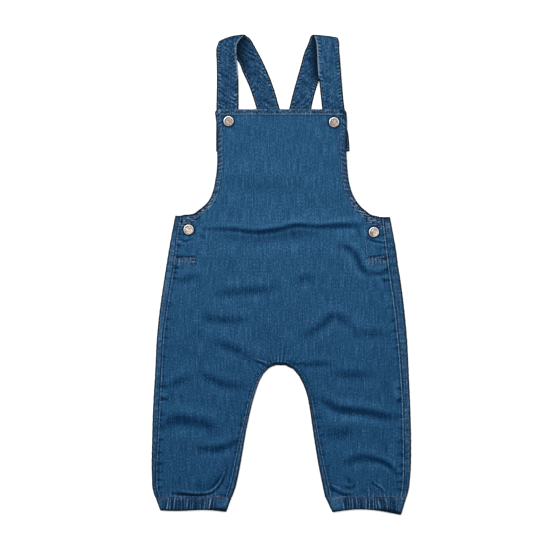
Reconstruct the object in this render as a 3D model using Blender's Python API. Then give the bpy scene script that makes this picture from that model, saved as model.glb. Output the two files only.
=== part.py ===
# Children's denim dungarees, laid flat with the front up. The front is one cut piece from the
# bib to the legs. The back lies under it and wraps round the sides and the inner legs, so that
# the seams run on the front face. Two straps fold over at the shoulders, elastic gathers the
# cuffs, and four metal studs close the bib and the sides.
# Sizes are in millimetres: x across, y up the garment to the neck, z up from the surface that it
# lies on. "Left" is the side of negative x.

import math

import bmesh
import bpy
import numpy as np

MM = 0.001

# Cloth and the clearances between pieces
WALL = 1.2              # denim with its turned edges
STRAP_WALL = 1.6        # two layers stitched together
GAP = 0.3               # between neighbouring pieces
SEAM_LEVEL = 3.1        # middle of the front's wall where it meets the back at a seam
LOFT = 2.2              # how far the front stands above its seams away from them
LOFT_REACH = 30.0       # the distance from an edge at which it is fully up
LOWEST = 2.15           # the front's middle never sinks below this, over the back

# Lengths along the garment
BIB_TOP = 197.8
BIB_CORNER_DROP_POWER = 60  # the bib's top edge runs level and drops only at its corner
BIB_CORNER_REACH = 0.2  # share of the armhole over which the rows below straighten
ARMHOLE_FOOT = 68.5     # where the front's middle is level with the foot of its armholes
BACK_TOP = 188.8
BACK_FOOT = 69.0        # the same for the back's middle
LEG_HEM = -267.5        # the panels' lower edge, where the cuffs are sewn on
CUFF_TOP = -268.2
CROTCH_ROW_SHARE = 0.33  # share of the side seam above the row that reaches the crotch

# Turned hems of the bib: their widths and how much thicker the cloth is there
ARMHOLE_HEM = 7.0
TOP_HEM = 6.2
HEM_RISE = 0.45
HEM_SLOPE = 0.8         # width of the step at the hem's inner edge
HEM_STEPS = (0.0, 3.0, 5.8, 7.4)  # distances from the front's edges that have points

# Mesh density: rows down the garment and columns from the middle to the side
BIB_ROWS = 16
BACK_ARMHOLE_ROWS = 9
BODY_ROWS = 19
LEG_ROWS = 24
FRONT_COLUMNS = 15
BACK_COLUMNS = 6
FOLD_STEPS = 3

# The edge of the bib from its top corner down to the armhole's foot: x, y
BIB_EDGE = {
    "left": [
        (-79.6, 194.2), (-78.4, 184.6), (-77.4, 172.6), (-77.4, 148.6), (-77.2, 136.6),
        (-77.9, 124.6), (-79.6, 112.6), (-82.1, 100.6), (-87.2, 88.8), (-93.2, 82.2),
        (-100.0, 76.6), (-105.8, 72.5), (-114.0, 70.4),
    ],
    "right": [
        (77.6, 194.2), (78.4, 184.6), (78.0, 165.0), (77.9, 148.0), (78.5, 136.6),
        (79.3, 124.6), (80.8, 112.6), (83.8, 100.6), (89.0, 89.4), (96.5, 79.8),
        (105.0, 73.0), (113.5, 69.6),
    ],
}

# The edge of the back from its top corner towards the side: x, y
BACK_EDGE = {
    "left": [
        (-29.0, 188.8), (-30.0, 175.0), (-34.0, 150.0), (-42.0, 125.0), (-56.0, 103.0),
        (-76.0, 86.0), (-95.0, 76.0), (-107.0, 72.0), (-116.0, 70.6),
    ],
    "right": [
        (37.0, 188.8), (37.5, 175.0), (40.0, 150.0), (46.0, 125.0), (58.0, 103.0),
        (78.0, 85.0), (97.0, 75.0), (107.0, 71.0), (117.0, 69.0),
    ],
}

# The side edge from the armhole to the cuff: x, y, width of the back's strip on the front face
SIDE_EDGE = {
    "left": [
        (-127.3, 70.2, 5.2), (-132.0, 46.6, 5.6), (-135.2, 28.6, 7.2), (-138.1, 10.6, 7.8),
        (-140.9, -7.4, 7.8), (-144.5, -31.4, 7.4), (-149.2, -73.4, 6.6), (-151.4, -115.4, 6.4),
        (-153.9, -157.4, 6.6), (-155.2, -199.4, 6.0), (-155.5, -241.4, 4.4), (-154.2, -259.4, 4.0),
        (-151.5, -267.5, 4.0),
    ],
    "right": [
        (130.0, 68.8, 7.2), (134.2, 46.6, 9.4), (137.4, 28.6, 10.4), (139.7, 10.6, 10.2),
        (142.7, -7.4, 10.4), (145.9, -31.4, 10.0), (150.2, -73.4, 9.6), (152.4, -115.4, 8.2),
        (154.3, -157.4, 7.6), (155.4, -199.4, 7.8), (154.4, -241.4, 6.8), (152.3, -259.4, 6.0),
        (150.0, -267.5, 5.4),
    ],
}

# The inner leg from the crotch to the cuff: x, y, width of the back's strip on the front face
INNER_EDGE = {
    "left": [
        (0.0, -109.0, 3.0), (-6.0, -109.0, 3.0), (-11.6, -110.6, 3.0), (-18.4, -115.6, 3.0),
        (-25.0, -125.0, 3.0), (-29.8, -137.0, 3.0), (-34.3, -151.4, 3.0), (-39.0, -170.6, 3.0),
        (-43.4, -192.2, 3.8), (-47.4, -216.2, 4.8), (-51.8, -240.2, 5.5), (-56.6, -259.4, 5.5),
        (-59.8, -267.5, 5.5),
    ],
    "right": [
        (0.0, -109.0, 3.0), (4.0, -109.0, 3.0), (8.0, -110.8, 3.0), (13.0, -113.2, 3.0),
        (19.6, -120.2, 3.0), (25.2, -129.8, 3.0), (30.6, -144.2, 3.0), (34.0, -161.0, 3.0),
        (36.8, -180.2, 3.4), (40.4, -204.2, 4.2), (44.4, -228.2, 5.0), (49.2, -252.2, 5.5),
        (52.4, -267.5, 5.5),
    ],
}

# Creases pressed into the front: width, depth and the x, y points of the trough
CREASES = [
    {"width": 6.5, "depth": 2.3, "route": [
        (-92, 54), (-56, 53.5), (-33, 50.5), (-4, 53.5), (17, 58.5), (45, 57.5), (89, 61)]},
    {"width": 6.5, "depth": 2.4, "route": [(70, 34.5), (84.6, 29), (92, 17.6), (97, 7), (107, -1)]},
    {"width": 6.5, "depth": 1.4, "route": [(104, 0), (118, 0.7), (131, 4)]},
    {"width": 6.5, "depth": 1.1, "route": [(-124, -8.8), (-98.5, -1.3)]},
    {"width": 7.0, "depth": 1.5, "route": [(-77.4, -18), (-46, -15), (-12.6, -14), (-4, -11.6)]},
    {"width": 7.0, "depth": 0.9, "route": [(17.4, -7.7), (37.8, -3.2)]},
    {"width": 7.0, "depth": 1.7, "route": [(-94, -51), (-73, -54.8), (-38, -54)]},
    {"width": 7.5, "depth": 1.6, "route": [(25.8, -70.4), (46.7, -58), (64.7, -45), (86.8, -64.4)]},
    {"width": 7.5, "depth": 1.8, "route": [(-84, -78), (-65, -82.4), (-50, -89.6), (-30, -104.3)]},
    {"width": 8.0, "depth": 1.0, "route": [(84.6, -72.8), (114, -70.8), (131, -72.8)]},
    {"width": 6.5, "depth": 1.2, "route": [(21.5, -107.6), (41.4, -104.6), (61.4, -105.6)]},
    {"width": 6.5, "depth": 1.4, "route": [(-136, -134.6), (-122, -128), (-109, -124.4)]},
    {"width": 7.0, "depth": 1.4, "route": [(-98, -116), (-86, -121), (-73, -126.6), (-44, -132)]},
    {"width": 9.0, "depth": 2.2, "route": [(-143, -178), (-124, -170), (-109, -174), (-77.4, -187.7)]},
    {"width": 7.0, "depth": 1.9, "route": [(-94, -209.6), (-80, -212), (-69, -206.6), (-50, -202.4)]},
    {"width": 6.5, "depth": 1.8, "route": [(-65, -234), (-71.4, -245.6), (-81.7, -256), (-120, -261)]},
    {"width": 7.0, "depth": 2.5, "route": [
        (40, -145.6), (55, -152), (65.4, -159), (78.4, -163.4), (101, -165.6), (139, -173)]},
    {"width": 9.0, "depth": 1.2, "route": [(44.6, -186.6), (67.8, -190.8), (84.6, -188.8)]},
    {"width": 7.0, "depth": 2.4, "route": [(80.4, -225.6), (93, -221.4), (107.8, -221.4), (131, -234)]},
]
CREASE_EDGE_REACH = 8.0     # creases fade out over this distance from a seam
CREASE_TAPER = 0.5          # how blunt a crease's ends are, from 0
RIDGE_SHARE = 0.25          # height of the ridges beside a trough, as a share of its depth
RIDGE_PLACE = 1.9           # their distance from its middle, as a share of its width

# Straps: left x, left y, right x, right y, height of the middle of the wall, and how far the
# middle of the width stands out towards the fold. The front run goes from its end behind the
# bib up to the fold, and the back run from the fold to the back's top edge.
STRAP_LOW = STRAP_WALL / 2
STRAP_OVER = 3.0
STRAP_ON_BACK = WALL + GAP + STRAP_WALL / 2
STRAP_FOLD_STEPS = 5
STRAP_COLUMNS = 6
STRAP_RUNS = {
    "left": {
        "front": [
            (-78.2, 147.6, -51.7, 148.0, STRAP_LOW, 0.0),
            (-78.2, 166.0, -51.7, 166.0, STRAP_LOW, 0.0),
            (-78.0, 182.0, -51.6, 182.0, STRAP_LOW, 0.0),
            (-77.8, 198.0, -51.5, 198.0, STRAP_LOW, 0.0),
            (-77.5, 215.0, -51.4, 215.0, STRAP_LOW, 0.0),
            (-77.4, 229.0, -51.6, 231.0, 1.4, 0.0),
            (-77.3, 243.0, -52.8, 245.0, 2.5, 0.0),
            (-77.5, 255.0, -54.2, 257.0, STRAP_OVER, 0.0),
            (-78.0, 264.0, -54.3, 267.5, STRAP_OVER, 0.4),
            (-77.6, 270.0, -53.6, 275.5, STRAP_OVER, 1.2),
            (-76.6, 274.2, -50.8, 281.6, STRAP_OVER, 2.2),
            (-75.2, 277.2, -46.9, 285.4, STRAP_OVER, 2.8),
        ],
        "back": [
            (-74.0, 277.4, -42.8, 285.4, STRAP_LOW, 2.8),
            (-68.0, 271.5, -37.6, 281.8, STRAP_LOW, 1.2),
            (-61.0, 265.8, -31.6, 272.9, STRAP_LOW, 0.4),
            (-51.2, 256.0, -26.0, 262.4, STRAP_LOW, 0.0),
            (-45.6, 241.6, -20.4, 251.0, STRAP_LOW, 0.0),
            (-39.2, 226.4, -14.0, 236.4, STRAP_LOW, 0.0),
            (-34.2, 212.4, -8.4, 220.8, STRAP_LOW, 0.0),
            (-30.0, 198.8, -4.0, 205.4, STRAP_LOW, 0.0),
            (-27.7, 191.0, 0.0, 191.0, STRAP_ON_BACK, 0.0),
            (-23.8, 180.4, 3.4, 180.4, STRAP_ON_BACK, 0.0),
        ],
    },
    "right": {
        "front": [
            (55.5, 147.0, 82.0, 147.6, STRAP_LOW, 0.0),
            (54.4, 165.0, 80.8, 165.0, STRAP_LOW, 0.0),
            (51.8, 180.0, 78.2, 180.0, STRAP_LOW, 0.0),
            (48.9, 198.1, 75.9, 198.1, STRAP_LOW, 0.0),
            (47.3, 212.0, 74.2, 212.0, 1.4, 0.0),
            (45.4, 229.6, 72.6, 229.6, 2.8, 0.0),
            (44.2, 241.0, 71.7, 241.0, STRAP_OVER, 0.0),
            (43.1, 258.0, 70.4, 258.0, STRAP_OVER, 0.0),
            (42.5, 271.0, 69.3, 271.0, STRAP_OVER, 0.1),
            (41.9, 279.4, 68.6, 277.4, STRAP_OVER, 0.3),
            (40.0, 285.3, 67.2, 281.9, STRAP_OVER, 0.5),
        ],
        "back": [
            (35.2, 285.2, 65.3, 282.0, STRAP_LOW, 0.5),
            (31.5, 276.2, 59.8, 271.5, STRAP_LOW, 0.1),
            (27.6, 267.1, 54.2, 260.0, STRAP_LOW, 0.0),
            (22.9, 250.2, 48.5, 243.2, STRAP_LOW, 0.0),
            (18.1, 233.6, 43.0, 227.0, STRAP_LOW, 0.0),
            (13.6, 217.0, 38.8, 212.4, STRAP_LOW, 0.0),
            (9.6, 200.5, 35.5, 197.6, STRAP_LOW, 0.0),
            (7.4, 191.0, 34.2, 191.0, STRAP_ON_BACK, 0.0),
            (4.8, 180.4, 31.9, 180.4, STRAP_ON_BACK, 0.0),
        ],
    },
}
STRAP_CLEAR_RISE = 1.15     # the bib stands this much higher over the strap ends on the back
STRAP_CLEAR_BOX = (-36.0, 42.0, 154.0)  # from x, to x, from y up
STRAP_CLEAR_SLOPE = (12.0, 14.0)        # the rise comes in over these distances across and up

# Cuffs: corners as x, y, how far the lower edge bows up in its middle, and the gathered stretch
# as shares of the width from the inner leg
CUFFS = {
    "left": {
        "top": ((-59.9, CUFF_TOP), (-151.4, CUFF_TOP)),
        "bottom": ((-66.4, -285.2), (-145.3, -283.0)),
        "bow": 0.9,
        "gathered": (0.12, 0.86),
    },
    "right": {
        "top": ((52.6, CUFF_TOP), (150.0, CUFF_TOP)),
        "bottom": ((61.2, -286.2), (143.4, -287.5)),
        "bow": 4.2,
        "gathered": (0.14, 0.88),
    },
}
GATHERS = 12
GATHER_STEPS = 4
GATHER_HEIGHT = 1.3
GATHER_FADE = 0.06      # share of the width over which the gathers come in and die away
GATHER_DRIFT = ((0.12, 2.3), (0.08, 5.1))  # how far their spacing drifts, and how fast
CUFF_ROWS = (0.0, 0.12, 0.5, 0.86, 1.0)
CUFF_ROW_GATHER = (0.35, 0.8, 1.0, 0.9, 0.6)
CUFF_BACK_STEPS = 12

# Press studs: place on the front, and the turned cap as radius, height from its flat foot
STUDS = {
    "stud_bib_left": (-63.5, 183.7),
    "stud_bib_right": (63.0, 182.3),
    "stud_side_left": (-111.4, 53.6),
    "stud_side_right": (110.8, 50.6),
}
STUD_PROFILE = [
    (5.6, 0.0), (6.4, 0.5), (6.6, 1.2), (6.3, 1.9), (5.6, 2.2), (4.9, 2.0), (4.3, 1.5),
]
STUD_DISH = 1.35
STUD_SIDES = 20
STUD_PAD = (16.0, 28.0)     # the cloth is level to the first distance, as shaped past the second

DENIM = {"colour": (0.019, 0.083, 0.181), "roughness": 0.9, "metallic": 0.0}
METAL = {"colour": (0.62, 0.60, 0.57), "roughness": 0.32, "metallic": 1.0}


def smooth_step(value):
    share = np.clip(value, 0.0, 1.0)
    return share * share * (3.0 - 2.0 * share)


def smooth_curve(table):
    # A curve through each row by its length; columns after x and y follow along.
    points = np.array(table, float)
    chords = np.linalg.norm(np.diff(points[:, :2], axis=0), axis=1)
    knots = np.concatenate(([0.0], np.cumsum(chords)))
    slopes = np.gradient(points, knots, axis=0)

    def at(shares):
        place = np.clip(np.atleast_1d(shares), 0.0, 1.0) * knots[-1]
        low = np.clip(np.searchsorted(knots, place, side="right") - 1, 0, len(chords) - 1)
        step = chords[low][:, None]
        t = (place - knots[low])[:, None] / step
        start = (1 + 2 * t) * (1 - t) ** 2 * points[low]
        end = t**2 * (3 - 2 * t) * points[low + 1]
        leave = t * (1 - t) ** 2 * step * slopes[low]
        arrive = t**2 * (t - 1) * step * slopes[low + 1]
        return start + end + leave + arrive

    return at


def edge_line(table, shares, turn):
    # Points of an edge, the direction out of the cloth there, and the strip's width.
    curve = smooth_curve(table)
    rows = curve(shares)
    ahead = curve(np.minimum(shares + 0.002, 1.0))[:, :2]
    behind = curve(np.maximum(shares - 0.002, 0.0))[:, :2]
    along = ahead - behind
    along /= np.linalg.norm(along, axis=1)[:, None]
    outward = turn * np.stack((-along[:, 1], along[:, 0]), axis=1)
    return rows[:, :2], outward, rows[:, 2:3]


def side_sign(side):
    return -1.0 if side == "left" else 1.0


def body_shares():
    body = np.linspace(0.0, CROTCH_ROW_SHARE, BODY_ROWS + 1)
    legs = np.linspace(CROTCH_ROW_SHARE, 1.0, LEG_ROWS + 1)
    return np.concatenate((body, legs[1:]))


def side_line(side):
    return edge_line(SIDE_EDGE[side], body_shares(), side_sign(side))


def inner_line(side):
    shares = np.linspace(0.0, 1.0, LEG_ROWS + 1)
    points, outward, width = edge_line(INNER_EDGE[side], shares, -side_sign(side))
    outward[0] = (0.0, -1.0)  # both halves meet at the crotch
    return points, outward, width


def route_distance(x, y, route):
    # Distance from each point to the route, and the share of the route at the nearest place.
    ends = np.array(route, float)
    lengths = np.linalg.norm(np.diff(ends, axis=0), axis=1)
    done = np.concatenate(([0.0], np.cumsum(lengths)))
    nearest = np.full(x.shape, np.inf)
    share = np.zeros(x.shape)
    for start, end, length, before in zip(ends, ends[1:], lengths, done):
        along = (end - start) / length
        run = np.clip((x - start[0]) * along[0] + (y - start[1]) * along[1], 0.0, length)
        gap = np.hypot(x - start[0] - run * along[0], y - start[1] - run * along[1])
        closer = gap < nearest
        nearest = np.where(closer, gap, nearest)
        share = np.where(closer, (before + run) / done[-1], share)
    return nearest, share


def gauss(gap, width):
    return np.exp(-((gap / width) ** 2))


def crease_relief(x, y):
    # Soft troughs, each with a low ridge on either side, that die away at both ends.
    relief = np.zeros_like(x)
    for crease in CREASES:
        width = crease["width"]
        gap, share = route_distance(x, y, crease["route"])
        taper = np.maximum(np.sin(math.pi * share), 0.0) ** CREASE_TAPER
        ridge = RIDGE_SHARE * gauss(gap - RIDGE_PLACE * width, width)
        relief += crease["depth"] * taper * (ridge - gauss(gap, width))
    return relief


def front_height(x, y, to_edges):
    # Height of the middle of the front's wall: level at seams, lofted between, creased, and
    # raised along the turned hems.
    from_edge = np.minimum.reduce([*to_edges.values(), np.maximum(y - LEG_HEM, 0.0)])
    loft = LOFT * smooth_step(from_edge / LOFT_REACH)
    low_x, high_x, low_y = STRAP_CLEAR_BOX
    slope_x, slope_y = STRAP_CLEAR_SLOPE
    over_straps = smooth_step((x - low_x) / slope_x) * smooth_step((high_x - x) / slope_x)
    over_straps *= smooth_step((y - low_y) / slope_y)
    rise = np.maximum(loft, STRAP_CLEAR_RISE * over_straps)
    rise += crease_relief(x, y) * smooth_step(from_edge / CREASE_EDGE_REACH)
    for stud_x, stud_y in STUDS.values():
        level_to, shaped_from = STUD_PAD
        away = np.hypot(x - stud_x, y - stud_y)
        rise *= smooth_step((away - level_to) / (shaped_from - level_to))
    armhole_band = smooth_step((ARMHOLE_HEM + HEM_SLOPE / 2 - to_edges["armhole"]) / HEM_SLOPE)
    top_band = smooth_step((TOP_HEM + HEM_SLOPE / 2 - to_edges["top"]) / HEM_SLOPE)
    hems = HEM_RISE * np.maximum(armhole_band, top_band)
    return np.maximum(SEAM_LEVEL + rise, LOWEST) + hems


def across(inner, outer, columns, steps=(0.0,)):
    # Points from the inner to the outer end of each row: even, then closing up at the given
    # distances from the outer end; and each point's share of the way.
    length = np.linalg.norm(outer - inner, axis=1)[:, None]
    closing = 1.0 - np.array(steps[::-1]) / length
    even = closing[:, :1] * np.linspace(0.0, 1.0, columns + 1)[:-1]
    share = np.concatenate((even, closing), axis=1)
    return inner[:, None, :] + (outer - inner)[:, None, :] * share[:, :, None], share


def front_grid(side):
    outline, outward, strip = side_line(side)
    seam = outline - outward * (strip + GAP)
    arch, arch_outward, lip = inner_line(side)
    arch_seam = arch - arch_outward * (lip + GAP)
    seam[-1, 1] = arch_seam[-1, 1] = LEG_HEM
    near = np.array(HEM_STEPS) / (BIB_TOP - ARMHOLE_FOOT)
    arm_shares = np.concatenate((near[:-1], np.linspace(near[-1], 1.0, BIB_ROWS + 1)[:-1]))
    bib_rows = len(arm_shares)
    armhole = smooth_curve(BIB_EDGE[side] + [tuple(seam[0])])(arm_shares)
    bib_y = BIB_TOP + (ARMHOLE_FOOT - BIB_TOP) * arm_shares
    bib_middle = np.stack((0.0 * bib_y, bib_y), axis=1)
    body_y = np.linspace(ARMHOLE_FOOT, arch_seam[0][1], BODY_ROWS + 1)[:-1]
    body_middle = np.stack((0.0 * body_y, body_y), axis=1)
    inner = np.concatenate((bib_middle, body_middle, arch_seam))
    outer = np.concatenate((armhole, seam))
    points, share = across(inner, outer, FRONT_COLUMNS, HEM_STEPS)
    straighten = np.clip(1.0 - arm_shares / BIB_CORNER_REACH, 0.0, 1.0)
    power = 1.0 + (BIB_CORNER_DROP_POWER - 1) * straighten
    fall = share[:bib_rows] ** power[:, None]
    points[:bib_rows, :, 1] = inner[:bib_rows, 1:] + (armhole - inner[:bib_rows])[:, 1:] * fall
    edges = {
        "top": points[0],
        "armhole": points[:bib_rows + 1, -1],
        "seam": points[bib_rows:, -1],
        "inner": points[bib_rows + BODY_ROWS:, 0],
    }
    x, y = points[:, :, 0], points[:, :, 1]
    to_edges = {name: route_distance(x, y, edge)[0] for name, edge in edges.items()}
    return np.dstack((x, y, front_height(x, y, to_edges)))


def wrapped_strip(outline, outward, width):
    # The back's edge turned up and over onto the front face, from its flat part to the seam.
    low = WALL / 2
    radius = (SEAM_LEVEL - low) / 2
    inset = radius + WALL / 2
    columns = []
    for angle in np.linspace(0.0, math.pi, FOLD_STEPS + 1):
        place = outline - outward * (inset - radius * math.sin(angle))
        columns.append(np.insert(place, 2, low + radius * (1.0 - math.cos(angle)), axis=1))
    columns.append(np.insert(outline - outward * width, 2, SEAM_LEVEL, axis=1))
    strip = np.stack(columns, axis=1)
    strip[-1, :, 1] = LEG_HEM
    return strip


def back_grids(side):
    side_strip = wrapped_strip(*side_line(side))
    inner_strip = wrapped_strip(*inner_line(side))
    fold = side_strip[:, 0, :2]
    arm_shares = np.linspace(0.0, 1.0, BACK_ARMHOLE_ROWS + 1)[:-1]
    armhole = smooth_curve(BACK_EDGE[side] + [tuple(fold[0])])(arm_shares)
    top_y = BACK_TOP + (BACK_FOOT - BACK_TOP) * arm_shares
    top_middle = np.stack((0.0 * top_y, top_y), axis=1)
    body_y = np.linspace(BACK_FOOT, inner_strip[0, 0, 1], BODY_ROWS + 1)[:-1]
    body_middle = np.stack((0.0 * body_y, body_y), axis=1)
    inner = np.concatenate((top_middle, body_middle, inner_strip[:, 0, :2]))
    outer = np.concatenate((armhole, fold))
    points, _ = across(inner, outer, BACK_COLUMNS)
    flat = np.insert(points, 2, WALL / 2, axis=2)
    return [flat, side_strip, inner_strip]


def section_outward(row):
    # Square to a strap's section, up the garment.
    across_strap = (row[2:4] - row[:2]) / np.linalg.norm(row[2:4] - row[:2])
    return np.array((-across_strap[1], across_strap[0]))


def strap_grid(side):
    runs = STRAP_RUNS[side]
    front, back = np.array(runs["front"]), np.array(runs["back"])
    last, first = front[-1], back[0]
    outward = section_outward(last)
    radius = (last[4] - first[4]) / 2
    fold = []
    for angle in np.linspace(0.0, math.pi, STRAP_FOLD_STEPS + 1)[1:-1]:
        row = last + (first - last) * angle / math.pi
        row[:4] += np.tile(outward, 2) * radius * math.sin(angle)
        row[4] = first[4] + radius * (1.0 + math.cos(angle))
        fold.append(row)
    grid = []
    for row in [*front, *fold, *back]:
        for share in np.linspace(0.0, 1.0, STRAP_COLUMNS + 1):
            spot = row[:2] + (row[2:4] - row[:2]) * share
            spot = spot + section_outward(row) * row[5] * 4 * share * (1 - share)
            grid.append((*spot, row[4]))
    return np.array(grid).reshape(-1, STRAP_COLUMNS + 1, 3)


def cuff_grid(side):
    size = CUFFS[side]
    top, bottom = np.array(size["top"]), np.array(size["bottom"])
    low = WALL / 2
    radius = (SEAM_LEVEL - low) / 2
    start, end = size["gathered"]
    front_share = np.linspace(0.0, 1.0, GATHERS * GATHER_STEPS + 1)
    back_share = np.linspace(1.0, 0.0, CUFF_BACK_STEPS + 1)
    ramp = smooth_step((front_share - start) / GATHER_FADE)
    ramp *= smooth_step((end - front_share) / GATHER_FADE)
    turns = GATHERS * (front_share - start) / (end - start)
    drift = sum(far * np.sin(fast * turns) for far, fast in GATHER_DRIFT)
    wave = 0.5 - 0.5 * np.cos(2 * math.pi * (turns + drift))
    rings = []
    for share, gather in zip(CUFF_ROWS, CUFF_ROW_GATHER):
        inner, outer = top + (bottom - top) * share
        line = (outer - inner) / np.linalg.norm(outer - inner)
        inner, outer = inner + line * (radius + low), outer - line * (radius + low)
        bow = np.array((0.0, size["bow"] * share**2))

        def place(u):
            return inner + (outer - inner) * u + bow * math.sin(math.pi * u)

        ring = []
        for u, height in zip(front_share, wave * ramp):
            ring.append((*place(u), SEAM_LEVEL + GATHER_HEIGHT * gather * height))
        for angle in np.linspace(0.0, math.pi, FOLD_STEPS + 1)[1:-1]:
            spot = outer + line * radius * math.sin(angle)
            ring.append((*spot, low + radius * (1.0 + math.cos(angle))))
        for u in back_share:
            ring.append((*place(u), low))
        for angle in np.linspace(0.0, math.pi, FOLD_STEPS + 1)[1:-1]:
            spot = inner - line * radius * math.sin(angle)
            ring.append((*spot, low + radius * (1.0 - math.cos(angle))))
        ring.append(ring[0])
        rings.append(ring)
    return np.array(rings)


def new_material(name, look):
    surface = bpy.data.materials.new(name)
    surface.use_nodes = True
    shader = surface.node_tree.nodes["Principled BSDF"]
    shader.inputs["Base Color"].default_value = (*look["colour"], 1.0)
    shader.inputs["Roughness"].default_value = look["roughness"]
    shader.inputs["Metallic"].default_value = look["metallic"]
    return surface


def add_object(name, form, surface):
    bmesh.ops.recalc_face_normals(form, faces=form.faces)
    mesh = bpy.data.meshes.new(name)
    form.to_mesh(mesh)
    form.free()
    mesh.shade_smooth()
    mesh.materials.append(surface)
    thing = bpy.data.objects.new(name, mesh)
    bpy.context.scene.collection.objects.link(thing)
    return thing


def add_cloth(name, grids, wall, surface):
    # Joins the grids along the points that they share and gives the sheet its thickness.
    form = bmesh.new()
    for grid in grids:
        rows, columns, _ = grid.shape
        points = [[form.verts.new(spot * MM) for spot in row] for row in grid]
        for row in range(rows - 1):
            for column in range(columns - 1):
                form.faces.new((
                    points[row][column],
                    points[row][column + 1],
                    points[row + 1][column + 1],
                    points[row + 1][column],
                ))
    bmesh.ops.remove_doubles(form, verts=form.verts, dist=0.00001)
    thing = add_object(name, form, surface)
    thickness = thing.modifiers.new("wall", "SOLIDIFY")
    thickness.thickness = wall * MM
    thickness.offset = 0.0
    thickness.use_even_offset = True
    thickness.use_quality_normals = True
    return thing


def add_stud(name, place, surface):
    form = bmesh.new()
    rings = []
    for radius, height in STUD_PROFILE:
        turns = np.arange(STUD_SIDES) * 2 * math.pi / STUD_SIDES
        rings.append([
            form.verts.new((radius * math.cos(a) * MM, radius * math.sin(a) * MM, height * MM))
            for a in turns
        ])
    for lower, upper in zip(rings, rings[1:]):
        for near, far in zip(range(STUD_SIDES), [*range(1, STUD_SIDES), 0]):
            form.faces.new((lower[near], lower[far], upper[far], upper[near]))
    form.faces.new(rings[0])
    centre = form.verts.new((0.0, 0.0, STUD_DISH * MM))
    for near, far in zip(range(STUD_SIDES), [*range(1, STUD_SIDES), 0]):
        form.faces.new((rings[-1][near], rings[-1][far], centre))
    stud = add_object(name, form, surface)
    foot = SEAM_LEVEL + WALL / 2 + GAP
    stud.location = (place[0] * MM, place[1] * MM, foot * MM)
    return stud


def main():
    for thing in list(bpy.data.objects):
        bpy.data.objects.remove(thing, do_unlink=True)
    denim = new_material("denim", DENIM)
    metal = new_material("stud_metal", METAL)
    sides = ("left", "right")
    add_cloth("front_panel", [front_grid(side) for side in sides], WALL, denim)
    add_cloth("back_panel", [grid for side in sides for grid in back_grids(side)], WALL, denim)
    for side in sides:
        add_cloth(f"strap_{side}", [strap_grid(side)], STRAP_WALL, denim)
        add_cloth(f"cuff_{side}", [cuff_grid(side)], WALL, denim)
    for name, place in STUDS.items():
        add_stud(name, place, metal)


main()
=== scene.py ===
import math

import bpy
import numpy as np
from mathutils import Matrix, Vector
from mathutils.kdtree import KDTree


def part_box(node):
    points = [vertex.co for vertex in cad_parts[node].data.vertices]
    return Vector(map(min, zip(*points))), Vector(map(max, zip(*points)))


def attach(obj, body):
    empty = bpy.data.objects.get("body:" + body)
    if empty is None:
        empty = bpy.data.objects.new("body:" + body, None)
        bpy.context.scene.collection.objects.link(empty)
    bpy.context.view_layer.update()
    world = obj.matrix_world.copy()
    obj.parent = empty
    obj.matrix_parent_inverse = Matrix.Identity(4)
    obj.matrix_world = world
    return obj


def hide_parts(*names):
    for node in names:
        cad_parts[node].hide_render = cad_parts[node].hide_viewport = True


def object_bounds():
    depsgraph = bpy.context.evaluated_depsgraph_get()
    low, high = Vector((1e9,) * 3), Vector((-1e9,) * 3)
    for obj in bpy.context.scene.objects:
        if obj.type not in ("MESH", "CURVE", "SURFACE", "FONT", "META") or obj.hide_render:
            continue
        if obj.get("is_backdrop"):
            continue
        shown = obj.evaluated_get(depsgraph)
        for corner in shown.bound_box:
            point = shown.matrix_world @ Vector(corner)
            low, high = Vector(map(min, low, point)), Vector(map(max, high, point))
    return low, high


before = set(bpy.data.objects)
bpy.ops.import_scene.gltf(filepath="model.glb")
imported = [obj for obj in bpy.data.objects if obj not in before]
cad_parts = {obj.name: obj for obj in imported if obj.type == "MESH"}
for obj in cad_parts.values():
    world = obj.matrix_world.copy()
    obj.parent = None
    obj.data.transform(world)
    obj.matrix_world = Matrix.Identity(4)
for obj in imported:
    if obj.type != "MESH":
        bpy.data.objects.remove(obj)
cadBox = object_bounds()
print("frame loaded")

mm = 0.001
sides = ("left", "right")
marks = ("tone", "worn", "dark")  # painted light and shade with the dye's variation, wear, and painted shade at edges, on the cloth


def nodeBox(node):
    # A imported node's lowest and highest corners in millimetres
    return [np.array(corner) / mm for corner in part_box(node)]


cloth = {
    "wall": 1.2,  # denim with its turned edges
    "strapWall": 1.6,  # two layers sewn together
    "gap": 0.3,  # between neighbouring pieces
    "closeEdge": 0.2,  # rounding where a leg and its cuff are sewn together
    "seamLevel": 3.1,  # middle of the front's wall at the seams
    "loft": 2.2,  # how far the front stands above its seams away from them
    "loftReach": 30.0,
    "lowest": 2.15,  # the front's middle never sinks below this over the back
    "softness": 0.12,  # how gently it is held there
}
bibTop = nodeBox("front_panel")[1][1] + 0.3  # its hem is turned over
legHem = nodeBox("front_panel")[0][1]


def smoothStep(value):
    share = np.clip(value, 0.0, 1.0)
    return share * share * (3.0 - 2.0 * share)


def bump(gap, width):
    return np.exp(-((gap / width) ** 2))


def runAlong(points):
    # Lengths of a line's pieces, and the length run up to each of its points
    steps = np.linalg.norm(np.diff(points, axis=0), axis=1)
    return steps, np.concatenate(([0.0], np.cumsum(steps)))


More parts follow.
